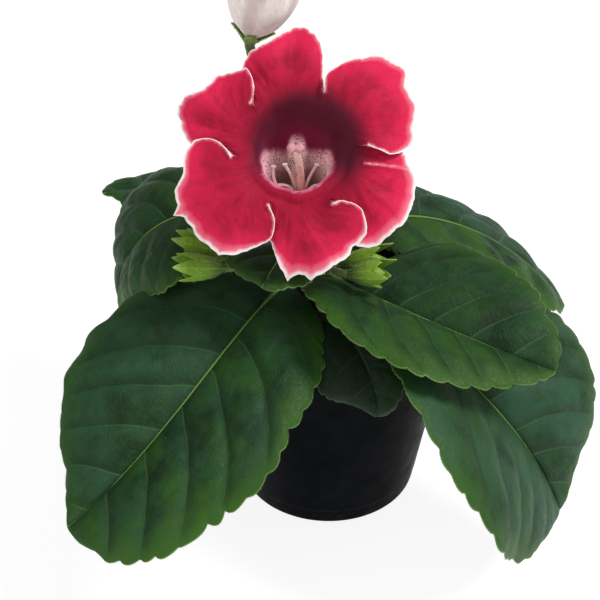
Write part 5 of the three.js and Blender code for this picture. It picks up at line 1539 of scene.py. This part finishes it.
class GLOXINIA_OT_stem(Operator):
    """Raise the short stem that the leaves and flower stalks leave from"""
    bl_idname = "gloxinia.stem"
    bl_label = "Stem"

    def execute(self, context):
        height = np.linspace(0, 1, STEM_ROWS)
        table = np.array(STEM, float)
        run = distance_run(table)
        profile = through(np.column_stack([run / run[-1], table]), height)
        profile[:, 0] = np.maximum(profile[:, 0], 0)
        profile[[0, -1], 0] = 0
        ridges = lambda angle, z: 0.3 * np.sin(3 * angle + z / 5) * smooth(84, 90, z) * smooth(134, 126, z)
        body = grid_skin(pinched(lathe(profile, STEM_SIDES, ridges)))
        piece("stem", joined([body, fuzz(body, STEM_HAIR_COUNT, 1.0, 77)]), stem_material())
        return {"FINISHED"}


# Stage

class GloxiniaStageSettings(PropertyGroup):
    floor: tint("Floor", "Colour of the floor", 0.3, 0.3, 0.3)
    sky: FloatProperty(name="Sky", description="Strength of the light from all round", default=0.3, min=0)
    key: FloatProperty(name="Key light", description="Strength of the light above", default=2.5, min=0)
    fill: FloatProperty(name="Fill light", description="Strength of the light in front", default=0.6, min=0)


class GLOXINIA_OT_stage(Operator):
    """Lay the pale floor, hang the soft lights and set the camera"""
    bl_idname = "gloxinia.stage"
    bl_label = "Stage"

    def execute(self, context):
        settings, scene = context.scene.gloxinia_stage, context.scene
        mesh = bpy.data.meshes.new("floor")
        corners = [(x * FLOOR_HALF, y * FLOOR_HALF, 0) for x, y in ((-1, -1), (1, -1), (1, 1), (-1, 1))]
        mesh.from_pydata(corners, [], [(0, 1, 2, 3)])
        floor = bpy.data.objects.new("floor", mesh)
        scene.collection.objects.link(floor)

        def draw(w):
            varied = [0.985 * c for c in settings.floor]
            return {"Base Color": w.mottle(w.place_mm(), 0.004, settings.floor, varied)}
        mesh.materials.append(material("Floor", draw, Roughness=0.8, Specular_IOR_Level=0.1,
                                       Emission_Color=(1, 1, 1, 1), Emission_Strength=FLOOR_GLOW))
        world = bpy.data.worlds.new("Studio")
        world.use_nodes = True
        background = world.node_tree.nodes["Background"]
        background.inputs[0].default_value = (1, 1, 1, 1)
        background.inputs[1].default_value = settings.sky
        scene.world = world
        scene.view_settings.view_transform = "Standard"
        for name, (lean, turn, spread) in SUNS.items():
            light = bpy.data.lights.new(name, "SUN")
            light.angle, light.energy = math.radians(spread), getattr(settings, name)
            lamp = bpy.data.objects.new(name, light)
            lamp.rotation_euler = (math.radians(lean), 0, math.radians(turn))
            scene.collection.objects.link(lamp)
        camera = bpy.data.objects.new("camera", bpy.data.cameras.new("camera"))
        camera.data.lens, camera.data.sensor_width = CAMERA_LENS, CAMERA_SENSOR
        camera.location = CAMERA_AT
        camera.rotation_euler = (math.radians(CAMERA_TILT), 0, 0)
        scene.collection.objects.link(camera)
        scene.camera = camera
        return {"FINISHED"}


STEPS = [GLOXINIA_OT_pot, GLOXINIA_OT_soil, GLOXINIA_OT_stem, GLOXINIA_OT_leaves, GLOXINIA_OT_bloom,
         GLOXINIA_OT_stalks, GLOXINIA_OT_heart, GLOXINIA_OT_pale_bud, GLOXINIA_OT_young_buds,
         GLOXINIA_OT_stage]
SETTINGS = {"gloxinia_leaf": GloxiniaLeafSettings, "gloxinia_bloom": GloxiniaBloomSettings,
            "gloxinia_calyx": GloxiniaCalyxSettings, "gloxinia_bud": GloxiniaBudSettings,
            "gloxinia_pot": GloxiniaPotSettings, "gloxinia_stage": GloxiniaStageSettings}


class GLOXINIA_PT_panel(Panel):
    """Pieces of the gloxinia, in the order in which they are built"""
    bl_idname = "GLOXINIA_PT_panel"
    bl_label = "Gloxinia"
    bl_space_type = "VIEW_3D"
    bl_region_type = "UI"
    bl_category = "Gloxinia"

    def draw(self, context):
        for step in STEPS:
            self.layout.operator(step.bl_idname)
        for key, group in SETTINGS.items():
            box = self.layout.box()
            for name in group.__annotations__:
                box.prop(getattr(context.scene, key), name)


def register():
    for group in SETTINGS.values():
        bpy.utils.register_class(group)
    for key, group in SETTINGS.items():
        setattr(bpy.types.Scene, key, PointerProperty(type=group))
    for step in (*STEPS, GLOXINIA_PT_panel):
        bpy.utils.register_class(step)


def unregister():
    for step in reversed((*STEPS, GLOXINIA_PT_panel)):
        bpy.utils.unregister_class(step)
    for key in SETTINGS:
        delattr(bpy.types.Scene, key)
    for group in reversed(SETTINGS.values()):
        bpy.utils.unregister_class(group)


def main():
    register()
    for step in STEPS:
        group, name = step.bl_idname.split(".")
        getattr(getattr(bpy.ops, group), name)()


if __name__ == "__main__":
    main()
